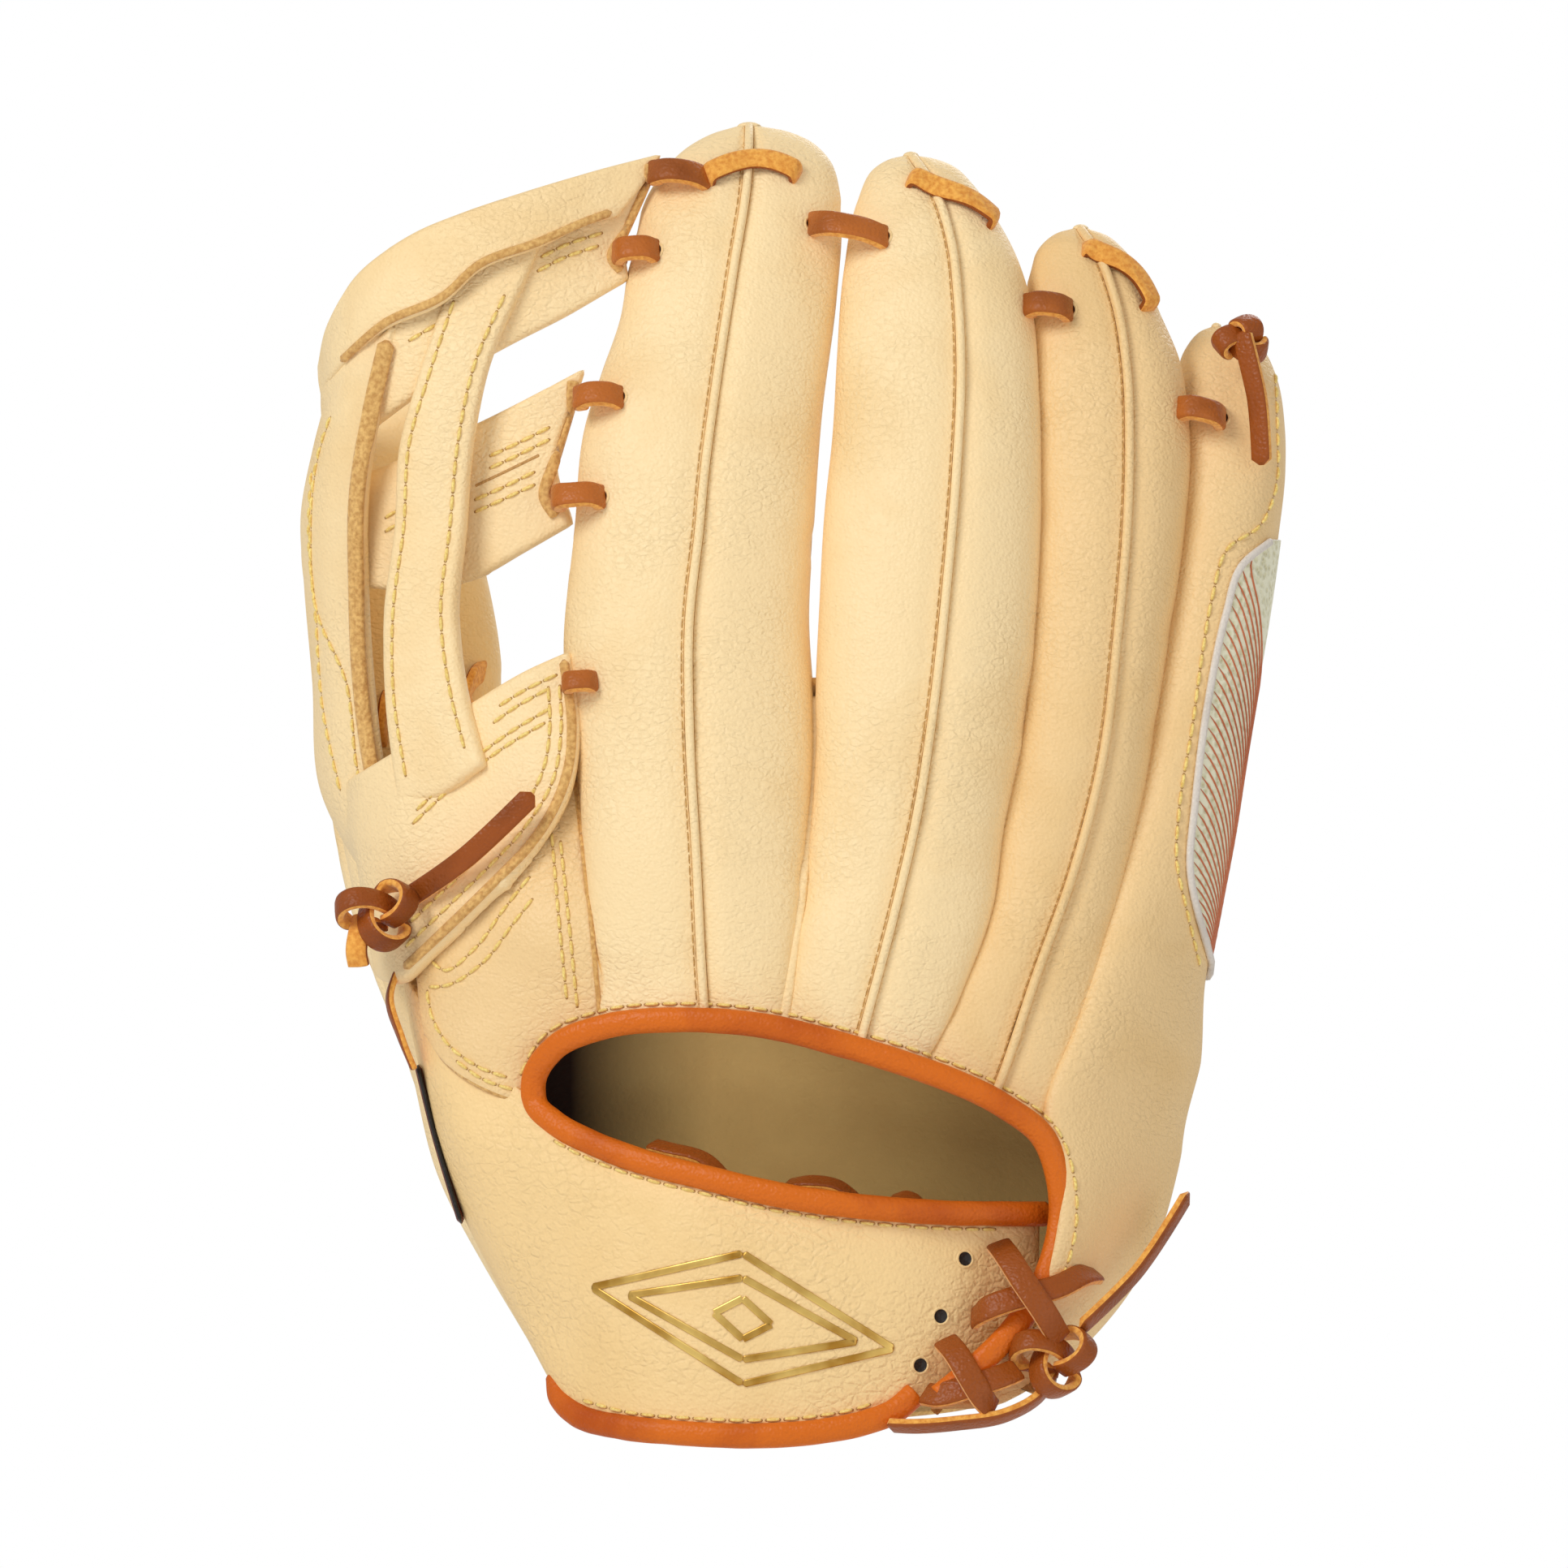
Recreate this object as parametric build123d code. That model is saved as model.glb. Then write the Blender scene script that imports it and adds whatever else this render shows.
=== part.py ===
from build123d import *
import os

# A fielding glove with an H web, worn on the right hand. Millimetres.
# Fingers point to +Z, the back of the hand faces -Y, the pocket opens to +Y and the web is at -X.
# The origin is the middle of the wrist opening, level with the bottom of the wrist strap.

# Driving dimensions.
FINGER_LEATHER = 2.6  # leather and lining of a finger stall
STRAP_LEATHER = 3.4
LINING = 1.6
PAD = 6.5
WEB_LEATHER = 4.2  # two layers sewn together
CLEARANCE = 0.4  # between neighbouring layers
SEAM_ANGLE = 6.0  # half the angle that the welt of a finger back takes up
WELT_RADIUS = 1.1
BINDING_RADIUS = 2.8
LACE_RADIUS = 1.7
TAIL_RADIUS = 2.0
EYELET_RADIUS = 1.6
EYELET_MIDDLE, EYELET_CUT = -30.0, 40.0  # depth and length of the tool that punches an eyelet
STAY_THICKNESS = 2.0
STAY_SHARE = 0.4  # width of a felt stay as a share of its finger
STAY_REACH = 0.8  # how near a stay comes to the front of its finger
PALM_TOP = 150.0  # height at which the finger fronts take over from the palm
KNOT_SIZE = (11.0, 6.0, 9.0)
KNOT_ROUNDING = 2.4
BEND_SHARE = 0.45  # how much of the shorter run each bend of a loose end takes up
BACK = 90.0  # angle of the middle of a finger's back, from its right-hand edge
SEAM_BELOW, SEAM_ABOVE = 2.0, 178.0  # angles at which a panel stops short of its neighbour
PAD_DEPTH_SHARE = 0.7  # depth of the thumb's pad as a share of its width

# Stations of a stall: height, left edge, right edge, middle depth, back bulge, front bulge.
INDEX = [
    (108, -47, -3, -8, 18, 9),
    (PALM_TOP, -52, 2, -5, 18, 9),
    (194, -56, 4, 0, 18, 9),
    (227, -54, 4, 5, 17, 9),
    (264, -47, 7, 12, 16, 9),
    (290, -40, 10, 18, 14, 8),
    (309, -34, 9, 23, 11, 7),
    (321, -24, 4, 26, 6, 5),
]
MIDDLE = [
    (104, -2, 33, -10, 19, 9),
    (PALM_TOP, 3, 52, -8, 19, 9),
    (180, 5, 57, -5, 19, 9),
    (216, 5, 60, 0, 18, 9),
    (258, 9, 60, 8, 17, 9),
    (290, 12, 56, 16, 14, 8),
    (306, 16, 51, 21, 11, 7),
    (316, 22, 42, 24, 6, 5),
]
RING = [
    (102, 36, 72, -4, 17, 9),
    (PALM_TOP, 54, 84, -1, 17, 9),
    (180, 59, 90, 2, 17, 9),
    (216, 62, 94, 6, 16, 9),
    (250, 62, 97, 12, 15, 8),
    (272, 61, 93, 17, 13, 8),
    (288, 61, 86, 21, 10, 7),
    (298, 65, 77, 24, 5.5, 5),
]
PINKY = [
    (97, 73.5, 100, 8, 20, 9),
    (PALM_TOP, 85.5, 110, 12, 20, 9),
    (180, 91.5, 116, 15, 20, 9),
    (225, 98, 121, 21, 19, 9),
    (250, 98.5, 121, 26, 16, 8),
    (266, 99, 118, 29, 12, 7),
    (275, 101, 112, 31, 6, 5),
]
THUMB = [
    (96, -98, -58, 50, 13, 12),
    (130, -110, -66, 58, 14, 13),
    (170, -117, -72, 64, 14, 13),
    (205, -119, -76, 68, 13, 12),
    (232, -116, -79, 71, 12, 11),
    (248, -109, -85, 73, 9, 8),
    (256, -102, -91, 74, 5.5, 5),
]


# Walls: the lower and the upper point of each station, on the outer face.
def level(x, y, low, high):
    return (x, y, low), (x, y, high)


STRAP = [
    level(-59, -9, 20, 81),
    level(-52, -20, 10, 76),
    level(-37, -30, 7, 70),
    level(-10, -36, 6, 63),
    level(15, -36, 8, 60),
    level(36, -31, 14, 58),
    level(50, -23, 24, 59),
    level(58, -15, 32, 58),
]
FLAP = [
    level(46, -33, 14, 19),
    level(57, -28, 18, 31),
    level(67, -23, 23, 62),
    level(74, -18, 28, 88),
    level(85, -8, 41, 90),
    level(92, 2, 55, 91),
    level(94, 9, 60, 91),
]
HEEL = [
    level(93, 22, 58, 91),
    level(82, 32, 30, 93),
    level(58, 41, 10, 94),
    level(30, 46, 4, 94),
    level(0, 45, 4, 94),
    level(-28, 38, 9, 94),
]
PALM = [
    ((43, 41, 97), (52, 13, 182)),
    ((10, 43, 97), (10, 15, 182)),
    ((-20, 40, 97), (-24, 15, 182)),
    ((-37, 34, 97), (-49, 9, 182)),
]
OUTER_PALM = [
    ((96, 22, 97), (110, 26, 182)),
    ((76, 34, 97), (88, 24, 182)),
    ((49, 40, 97), (60, 17, 182)),
]
THUMB_PANEL = [
    level(-64, -3, 98, 166),
    level(-74, 2, 94, 158),
    level(-84, 9, 94, 146),
    level(-92, 18, 96, 134),
    level(-97, 26, 100, 128),
]
THUMB_HEEL = [
    level(-66, 0, 26, 86),
    level(-72, 9, 36, 88),
    level(-80, 20, 50, 88),
    level(-86, 32, 66, 90),
]
TOP_BAR = [
    ((-42, 14, 287), (-37, 19, 316)),
    ((-56, 10, 278), (-55, 13, 311)),
    ((-68, 9, 272), (-69, 11, 307)),
    ((-84, 10, 266), (-84, 12, 301)),
    ((-94, 12, 262), (-96, 15, 296)),
]
TOP_BAR_OUTER = [
    ((-99, 16, 258), (-101, 18, 292)),
    ((-108, 24, 250), (-110, 26, 286)),
    ((-113, 38, 246), (-114, 40, 268)),
    ((-114, 54, 240), (-115, 56, 256)),
]
MIDDLE_BAR = [
    ((-59, 7, 229), (-54, 10, 262)),
    ((-72, 8, 219), (-68, 10, 256)),
    ((-94, 15, 210), (-93, 16, 247)),
]
MIDDLE_BAR_OUTER = [
    ((-99, 18, 210), (-99, 19, 242)),
    ((-104, 22, 208), (-104, 24, 236)),
]
INNER_POST = [
    ((-82, 3, 199), (-66, 4, 273)),
    ((-91, 6, 198), (-77, 5, 268)),
    ((-100, 9, 198), (-86, 7, 263)),
]
OUTER_POST = [
    ((-103, 20, 152), (-109, 31, 243)),
    ((-109, 32, 146), (-116, 42, 241)),
    ((-113, 46, 142), (-119, 52, 236)),
]
WEB_BASE = [
    ((-58, -11, 164), (-58, -7, 193)),
    ((-65, -11, 148), (-68, -3, 190)),
    ((-78, -7, 133), (-79, 1, 184)),
]
WEB_BASE_OUTER = [
    ((-83, -5, 130), (-84, 3, 181)),
    ((-90, 2, 122), (-94, 11, 178)),
    ((-97, 11, 140), (-100, 17, 168)),
]
# Levels of the wool pad in the thumb's heel: across, depth, height, half width.
THUMB_PAD = [
    (-56, 31, 22, 9),
    (-61, 35, 55, 14),
    (-66, 44, 90, 17),
]

OPENING_EDGE = [
    (-61, -10, 89),
    (-57, -17, 96),
    (-47, -24, 102),
    (-22, -28, 104),
    (-4, -30, 102),
    (14, -31, 99),
    (32, -30, 95),
    (48, -27, 88),
    (61, -26, 79),
    (66, -29, 67),
    (66, -28, 56),
    (62, -31, 42),
    (55, -33, 30),
    (45, -38, 18),
]
STRAP_TOP_RISE = 3.7  # from the strap's edge to the middle of its binding
STRAP_EYELETS = [(42, 46), (36, 32), (31, 20)]
WRIST_LACE = [
    (46, -36.5, 47),
    (55, -40, 40),
    (61, -39.5, 32.5),
]
HEEL_LACE = [
    (26, -38, 5),
    (38, -38, 5),
    (52, -36, 7),
    (62, -35, 12),
]
WEB_INDEX_LACES = [
    [(-52, 4, 300), (-44, 2, 306), (-34, 6, 308)],
    [(-62, 1, 252), (-55, -2, 258), (-46, 0, 262)],
    [(-68, -4, 226), (-60, -9, 232), (-53, -7, 236)],
    [(-55, -10.5, 186), (-53, -14, 188), (-48, -16.5, 190)],
]
WEB_THUMB_LACES = [
    [(-121, 58, 212), (-123, 64, 216), (-122, 70, 220)],
    [(-119, 54, 186), (-122, 60, 190), (-121, 66, 194)],
    [(-116, 52, 160), (-119, 56, 164), (-119, 62, 168)],
]
FINGER_LACES = [
    [(2, 1, 297), (12, -1, 300), (22, 2, 298)],
]
OUTER_LACES = [
    [(90, -4, 252), (98, -3, 254), (105, 1, 252)],
]
TIP_LACES = {
    "index_tip_lace": [(-23, 18, 325), (-10, 17, 326), (4, 20, 322)],
    "middle_tip_lace": [(24, 12, 316), (37, 4, 312), (50, 9, 304)],
    "ring_tip_lace": [(65, 12, 299), (75, 5, 296), (87, 11, 286)],
}
WEB_KNOT_AT = (-101, -2, 132)
PINKY_KNOT_AT = (111, 11, 272)
WRIST_KNOT_AT = (64, -39, 25)
# Loose ends: each route starts on its knot's face.
WEB_TAIL = [(-95.4, -4, 134), (-86, -12, 140), (-76, -18, 148), (-64, -21, 160)]
PINKY_TAIL = [(110.4, 5, 274), (113, 3.5, 264), (115, 3, 254), (115.4, 2.5, 243)]
WRIST_TAIL = [(70, -38, 29), (79, -34, 37), (88, -27, 47), (97, -21, 62)]


def stall_point(station, angle):
    """A point on a stall's outer face, at an angle from its right-hand edge."""
    height, left, right, depth, back, front = station
    across = Vector(1, 0).rotate(Axis.Z, angle)
    bulge = back if across.Y > 0 else front
    half = (right - left) / 2
    return Vector((left + right) / 2 + half * across.X, depth - bulge * across.Y, height)


def inward(point, station, distance):
    height, left, right, depth, _, _ = station
    centre = Vector((left + right) / 2, depth, height)
    return point + (centre - point).normalized() * distance


def arc_band(station, start, end, thickness):
    """One level of a stall's panel: a band of leather between two angles."""
    outer = [stall_point(station, a) for a in (start, (start + end) / 2, end)]
    inner = [inward(p, station, thickness) for p in outer]
    edges = [
        ThreePointArc(*outer),
        Line(outer[2], inner[2]),
        ThreePointArc(*reversed(inner)),
        Line(inner[0], outer[0]),
    ]
    return make_face(Wire(edges).edges())


def panel(stations, start, end, thickness=FINGER_LEATHER):
    return loft([arc_band(s, start, end, thickness) for s in stations], ruled=True)


def wall(stations, thickness, offset=0.0, ends=(0, None)):
    """A leaning sheet that follows its stations; it grows to the left of its direction."""
    chosen = stations[slice(*ends)]
    faces = []
    for i, (low, high) in enumerate(chosen):
        before = Vector(*chosen[max(i - 1, 0)][0])
        after = Vector(*chosen[min(i + 1, len(chosen) - 1)][0])
        run = after - before
        side = Vector(-run.Y, run.X, 0).normalized()
        near = [Vector(*low) + side * offset, Vector(*high) + side * offset]
        far = [p + side * thickness for p in reversed(near)]
        faces.append(make_face(Polyline(*near, *far, close=True).edges()))
    return loft(faces, ruled=True)


def rod(points, radius):
    """A round edge, welt or lace through its points."""
    route = [Vector(*p) for p in points]
    faces = []
    for i, point in enumerate(route):
        along = route[min(i + 1, len(route) - 1)] - route[max(i - 1, 0)]
        faces.append(Plane(point, z_dir=along) * Circle(radius))
    return loft([f.face() for f in faces], ruled=True)


def welt(stations, angle):
    """A welt standing just proud of a stall, along one angle."""
    route = []
    for station in stations:
        point = stall_point(station, angle)
        route.append(tuple(inward(point, station, -WELT_RADIUS - CLEARANCE)))
    return rod(route, WELT_RADIUS)


def stay(stations):
    """A felt stay inside the front of a stall."""
    faces = []
    for height, left, right, depth, _, front in stations:
        width = (right - left) * STAY_SHARE
        middle = depth + STAY_REACH * front - FINGER_LEATHER - 2 * CLEARANCE - STAY_THICKNESS / 2
        spot = Plane(((left + right) / 2, middle, height))
        faces.append((spot * Rectangle(width, STAY_THICKNESS)).face())
    return loft(faces, ruled=True)


def knot(at):
    return Pos(*at) * fillet(Box(*KNOT_SIZE).edges(), radius=KNOT_ROUNDING)


def tail(route):
    """A loose lace end: straight runs joined by tangent arcs as large as they allow."""
    points = [Vector(*p) for p in route]
    radii = []
    for before, corner, after in zip(points, points[1:], points[2:]):
        runs = corner - before, after - corner
        turn = runs[0].get_angle(runs[1])
        shorter = min(r.length for r in runs)
        tangent = Vector(1, 0).rotate(Axis.Z, turn / 2)
        radii.append(BEND_SHARE * shorter * tangent.X / tangent.Y)
    path = FilletPolyline(*points, radius=radii)
    return sweep(Plane(path @ 0, z_dir=path % 0) * Circle(TAIL_RADIUS), path=path)


def finger(nodes, name, stations, seam=BACK):
    """A stall: two back panels either side of a welt, a front panel and a felt stay."""
    upper = [s for s in stations if s[0] >= PALM_TOP]
    nodes[f"{name}_back_inner"] = panel(stations, 180, seam + SEAM_ANGLE)
    nodes[f"{name}_back_outer"] = panel(stations, seam - SEAM_ANGLE, 0)
    nodes[f"{name}_front"] = panel(upper, 360 - SEAM_BELOW, 180 + SEAM_BELOW)
    nodes[f"{name}_stay"] = stay(upper[:-1])
    nodes[f"{name}_welt"] = welt(stations, seam)


def make_fingers(nodes):
    finger(nodes, "index", INDEX)
    finger(nodes, "middle", MIDDLE)
    finger(nodes, "ring", RING)
    finger(nodes, "pinky", PINKY)
    nodes["pinky_side_panel"] = nodes.pop("pinky_back_outer")


def make_palm(nodes):
    nodes["palm_leather"] = wall(PALM, -FINGER_LEATHER)
    nodes["outer_palm_leather"] = wall(OUTER_PALM, -FINGER_LEATHER)
    nodes["heel_leather"] = wall(HEEL, FINGER_LEATHER)
    nodes["heel_pad"] = wall(HEEL, PAD, FINGER_LEATHER + CLEARANCE, (1, None))
    behind_pad = FINGER_LEATHER + PAD + 2 * CLEARANCE
    nodes["hand_lining"] = wall(HEEL, LINING, behind_pad, (1, None))


def make_wrist(nodes):
    strap = wall(STRAP, STRAP_LEATHER)
    for x, height in STRAP_EYELETS:
        strap -= Pos(x, EYELET_MIDDLE, height) * Rot(90) * Cylinder(EYELET_RADIUS, EYELET_CUT)
    nodes["wrist_strap"] = strap
    nodes["strap_lining"] = wall(STRAP, LINING, STRAP_LEATHER + CLEARANCE, (0, -1))
    nodes["pinky_flap"] = wall(FLAP, FINGER_LEATHER)
    rise = Vector(0, 0, STRAP_TOP_RISE)
    middle = Vector(0, STRAP_LEATHER / 2, 0)
    top = [Vector(*high) + rise + middle for _, high in STRAP[:-1]]
    bottom = [Vector(*low) - rise + middle for low, _ in STRAP[:-2]]
    nodes["strap_top_binding"] = rod([tuple(p) for p in top], BINDING_RADIUS)
    nodes["strap_bottom_binding"] = rod([tuple(p) for p in bottom], BINDING_RADIUS)
    nodes["opening_binding"] = rod(OPENING_EDGE, BINDING_RADIUS)


def make_thumb(nodes):
    nodes["thumb_front"] = panel(THUMB, SEAM_ABOVE, SEAM_BELOW)
    nodes["thumb_back"] = panel(THUMB, 360 - SEAM_BELOW, 180 + SEAM_BELOW)
    nodes["thumb_stay"] = stay(THUMB[:-1])
    nodes["thumb_panel"] = wall(THUMB_PANEL, -FINGER_LEATHER)
    nodes["thumb_heel_leather"] = wall(THUMB_HEEL, -FINGER_LEATHER)
    pad = [
        (Plane((across, depth, height)) * Ellipse(half, half * PAD_DEPTH_SHARE)).face()
        for across, depth, height, half in THUMB_PAD
    ]
    nodes["thumb_heel_pad"] = loft(pad, ruled=True)


def make_web(nodes):
    walls = {
        "web_top_bar": TOP_BAR,
        "web_top_bar_outer": TOP_BAR_OUTER,
        "web_middle_bar": MIDDLE_BAR,
        "web_middle_bar_outer": MIDDLE_BAR_OUTER,
        "web_inner_post": INNER_POST,
        "web_outer_post": OUTER_POST,
        "web_base": WEB_BASE,
        "web_base_outer": WEB_BASE_OUTER,
    }
    for name, stations in walls.items():
        nodes[name] = wall(stations, -WEB_LEATHER)


def make_laces(nodes):
    groups = {
        "web_index_laces": WEB_INDEX_LACES,
        "web_thumb_laces": WEB_THUMB_LACES,
        "finger_lace": FINGER_LACES,
        "outer_finger_lace": OUTER_LACES,
        "wrist_lace": [WRIST_LACE],
        "heel_lace": [HEEL_LACE],
    }
    for name, runs in groups.items():
        nodes[name] = Compound([rod(run, LACE_RADIUS) for run in runs])
    for name, run in TIP_LACES.items():
        nodes[name] = rod(run, LACE_RADIUS)
    knots = {"web": WEB_KNOT_AT, "pinky": PINKY_KNOT_AT, "wrist": WRIST_KNOT_AT}
    tails = {"web": WEB_TAIL, "pinky": PINKY_TAIL, "wrist": WRIST_TAIL}
    for name in knots:
        nodes[f"{name}_knot"] = knot(knots[name])
        nodes[f"{name}_lace_tail"] = tail(tails[name])


nodes = {}
make_fingers(nodes)
make_palm(nodes)
make_wrist(nodes)
make_thumb(nodes)
make_web(nodes)
make_laces(nodes)

os.makedirs("parts", exist_ok=True)
for name, shape in nodes.items():
    export_step(shape, f"parts/{name}.step")
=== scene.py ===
import math

import bpy
import numpy as np
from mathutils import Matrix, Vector
from mathutils.bvhtree import BVHTree


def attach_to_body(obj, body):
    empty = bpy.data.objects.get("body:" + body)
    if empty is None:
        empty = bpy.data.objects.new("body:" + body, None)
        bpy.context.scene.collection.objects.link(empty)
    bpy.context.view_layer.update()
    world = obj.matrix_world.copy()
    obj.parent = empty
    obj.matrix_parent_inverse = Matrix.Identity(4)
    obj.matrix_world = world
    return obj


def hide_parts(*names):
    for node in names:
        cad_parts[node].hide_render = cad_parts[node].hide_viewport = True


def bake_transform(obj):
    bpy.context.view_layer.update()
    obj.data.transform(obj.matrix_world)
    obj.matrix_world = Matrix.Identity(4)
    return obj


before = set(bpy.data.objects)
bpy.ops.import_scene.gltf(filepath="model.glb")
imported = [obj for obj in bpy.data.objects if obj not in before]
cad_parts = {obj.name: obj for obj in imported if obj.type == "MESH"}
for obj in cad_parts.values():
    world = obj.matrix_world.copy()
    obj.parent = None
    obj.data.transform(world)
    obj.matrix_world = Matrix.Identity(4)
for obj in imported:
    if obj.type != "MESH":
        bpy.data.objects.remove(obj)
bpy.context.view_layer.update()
scene = bpy.context.scene
MM = 0.001

# ---------------------------------------------------------------- camera and light
VIEW_CENTRE = (-2.4, 0.0, 162.4)  # mm
VIEW_WIDTH = 386.4  # mm across the frame at the glove
CAMERA_AWAY = 6000.0  # mm in front of it
SENSOR = 36.0  # mm
LIGHT_AIM = Vector((0, 0, 0.16))  # metres
AMBIENT = 0.46  # strength of the white world, which the camera sees as full white


def make_camera():
    data = bpy.data.cameras.new("Camera")
    data.sensor_width = SENSOR
    data.lens = SENSOR * CAMERA_AWAY / VIEW_WIDTH
    camera = bpy.data.objects.new("Camera", data)
    scene.collection.objects.link(camera)
    camera.location = Vector(VIEW_CENTRE) * MM + Vector((0, -CAMERA_AWAY * MM, 0))
    camera.rotation_euler = (math.pi / 2, 0, 0)
    scene.camera = camera


def area_light(name, place, size, power):
    data = bpy.data.lights.new(name, "AREA")
    data.size = size
    data.energy = power
    light = bpy.data.objects.new(name, data)
    scene.collection.objects.link(light)
    light.location = place
    aim = LIGHT_AIM - light.location
    light.rotation_euler = aim.to_track_quat("-Z", "Y").to_euler()


def make_world():
    world = bpy.data.worlds.new("Studio")
    scene.world = world
    world.use_nodes = True
    tree = world.node_tree
    background = tree.nodes["Background"]
    background.inputs["Color"].default_value = (1, 1, 1, 1)
    path = tree.nodes.new("ShaderNodeLightPath")
    strength = tree.nodes.new("ShaderNodeMapRange")
    strength.inputs["To Min"].default_value = AMBIENT
    strength.inputs["To Max"].default_value = 1.0
    tree.links.new(path.outputs["Is Camera Ray"], strength.inputs["Value"])
    tree.links.new(strength.outputs["Result"], background.inputs["Strength"])


make_camera()
make_world()
scene.view_settings.view_transform = "Standard"
area_light("Key", (-1.0, -1.2, 1.2), 0.7, 16.4)
area_light("Fill", (1.2, -1.4, 0.3), 1.2, 4.4)
area_light("Rim", (0.6, 1.4, 1.2), 1.0, 12)

# ---------------------------------------------------------------- materials


def srgb(red, green, blue):
    channels = []
    for value in (red, green, blue):
        share = value / 255
        channels.append(share / 12.92 if share <= 0.04045 else ((share + 0.055) / 1.055) ** 2.4)
    return (*channels, 1.0)


class Nodes:
    """A material's node tree, with short calls for the nodes used here."""

    def __init__(self, name, roughness, sheen=0.0, metallic=0.0, glint=0.5):
        self.material = bpy.data.materials.new(name)
        self.material.use_nodes = True
        self.tree = self.material.node_tree
        self.shader = self.tree.nodes["Principled BSDF"]
        look = {"Roughness": roughness, "Sheen Weight": sheen, "Metallic": metallic}
        self.feed(self.shader, {**look, "Specular IOR Level": glint})
        self.place = self.add("TexCoord", "Object", {})

    def feed(self, node, inputs):
        """Sets each input to a value, or links it to another node's output."""
        for key, value in inputs.items():
            if isinstance(value, bpy.types.NodeSocket):
                self.tree.links.new(value, node.inputs[key])
            else:
                node.inputs[key].default_value = value

    def add(self, kind, output, inputs, **settings):
        """Adds a node and gives its output."""
        node = self.tree.nodes.new(f"ShaderNode{kind}")
        for key, value in settings.items():
            setattr(node, key, value)
        self.feed(node, inputs)
        return node.outputs[output]

    def stretched(self, scale):
        return self.add("Mapping", "Vector", {"Scale": scale, "Vector": self.place})

    def warped(self, at, amount):
        """Coordinates pushed about by a soft noise."""
        push = self.add("TexNoise", "Color", {"Scale": 0.7, "Vector": at})
        inputs = {0: push, 1: (amount,) * 3, 2: at}
        return self.add("VectorMath", "Vector", inputs, operation="MULTIPLY_ADD")

    def axis(self, which):
        return self.add("SeparateXYZ", which, {"Vector": self.place})

    def times(self, first, second):
        return self.add("Math", "Value", {0: first, 1: second}, operation="MULTIPLY")

    def noise(self, scale, detail=4.0, distortion=0.0):
        inputs = {"Scale": scale, "Detail": detail, "Distortion": distortion}
        return self.add("TexNoise", "Fac", {**inputs, "Vector": self.place})

    def cells(self, scale, at=None, feature="F1"):
        inputs = {"Scale": scale, "Vector": at or self.place}
        return self.add("TexVoronoi", "Distance", inputs, feature=feature)

    def spread(self, value, low, high, start=0.0, end=1.0):
        """Maps low to start and high to end, and holds both ends."""
        limits = {"From Min": low, "From Max": high, "To Min": start, "To Max": end}
        return self.add("MapRange", "Result", {**limits, "Value": value})

    def colours(self, value, stops):
        node = self.tree.nodes.new("ShaderNodeValToRGB")
        ramp = node.color_ramp
        while len(ramp.elements) < len(stops):
            ramp.elements.new(0.5)
        for element, (position, colour) in zip(ramp.elements, stops):
            element.position = position
            element.color = colour
        self.feed(node, {"Fac": value})
        return node.outputs["Color"]

    def mixed(self, factor, first, second):
        return self.add("Mix", 2, {"Factor": factor, 6: first, 7: second}, data_type="RGBA")

    def bump(self, height, distance, strength=1.0, after=None):
        inputs = {"Strength": strength, "Distance": distance, "Height": height}
        if after:
            inputs["Normal"] = after
        return self.add("Bump", "Normal", inputs)

    def finish(self, colour, normal=None, roughness=None):
        inputs = {"Base Color": colour, "Normal": normal, "Roughness": roughness}
        self.feed(self.shader, {key: value for key, value in inputs.items() if value})
        return self.material


def leather(name, light, dark, crease=1.0, shine=0.5, pebble=(330, 330, 560), glint=0.4):
    """Pebbled leather: uneven tan, fine pores, and a net of creases, deeper in places, with painted
    shade darkening the crease lines.
    """
    light, dark = srgb(*light), srgb(*dark)
    n = Nodes(name, shine, glint=glint)
    blotch = n.noise(26, 5, distortion=0.4)
    fine = n.noise(420, 3)
    tan = n.colours(n.spread(blotch, 0.3, 0.7), [(0, dark), (0.5, light), (1, light)])
    pores = n.cells(1100)
    surface_tone = n.mixed(n.spread(fine, 0.62, 0.85, 0, 0.1), tan, dark)
    net = n.cells(1.0, at=n.warped(n.stretched(pebble), 1.1), feature="DISTANCE_TO_EDGE")
    deep = n.times(n.spread(net, 0.0, 0.2), n.spread(n.noise(34, 2), 0.42, 0.62, 0.15, 1.0))
    # Painted shade: the colour darkens along the crease net.
    surface_tone = n.mixed(n.spread(net, 0.0, 0.09, 0.14 * crease, 0.0), surface_tone, dark)
    normal = n.bump(n.spread(pores, 0, 0.7), 0.0002, 0.6)
    normal = n.bump(fine, 0.0003, 0.6, normal)
    normal = n.bump(deep, 0.0006 * crease, 0.34, normal)
    rough = n.spread(blotch, 0.3, 0.7, shine + 0.06, shine - 0.05)
    return n.finish(surface_tone, normal, rough)


def suede(name, light, dark, nap=1.0):
    light, dark = srgb(*light), srgb(*dark)
    n = Nodes(name, 0.86, sheen=0.25)
    tufts = n.noise(900, 4)
    patches = n.noise(60, 3)
    colour = n.mixed(n.spread(tufts, 0.35, 0.65), dark, light)
    colour = n.mixed(n.spread(patches, 0.35, 0.75, 0, 0.35), colour, dark)
    return n.finish(colour, n.bump(tufts, 0.00035 * nap, 0.9))


def thread(name, light, dark):
    n = Nodes(name, 0.55, sheen=0.2)
    twist = n.noise(1500, 2)
    colour = n.mixed(n.spread(twist, 0.35, 0.65), srgb(*dark), srgb(*light))
    return n.finish(colour, n.bump(twist, 0.0001))


def woven_mesh(name):
    n = Nodes(name, 0.7, sheen=0.15)
    holes = n.cells(620)
    stops = [(0, srgb(206, 196, 150)), (0.35, srgb(230, 224, 184)), (1, srgb(240, 236, 206))]
    colour = n.colours(n.spread(holes, 0.05, 0.6), stops)
    return n.finish(colour, n.bump(n.spread(holes, 0.05, 0.55), 0.0005, 0.9))


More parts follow.
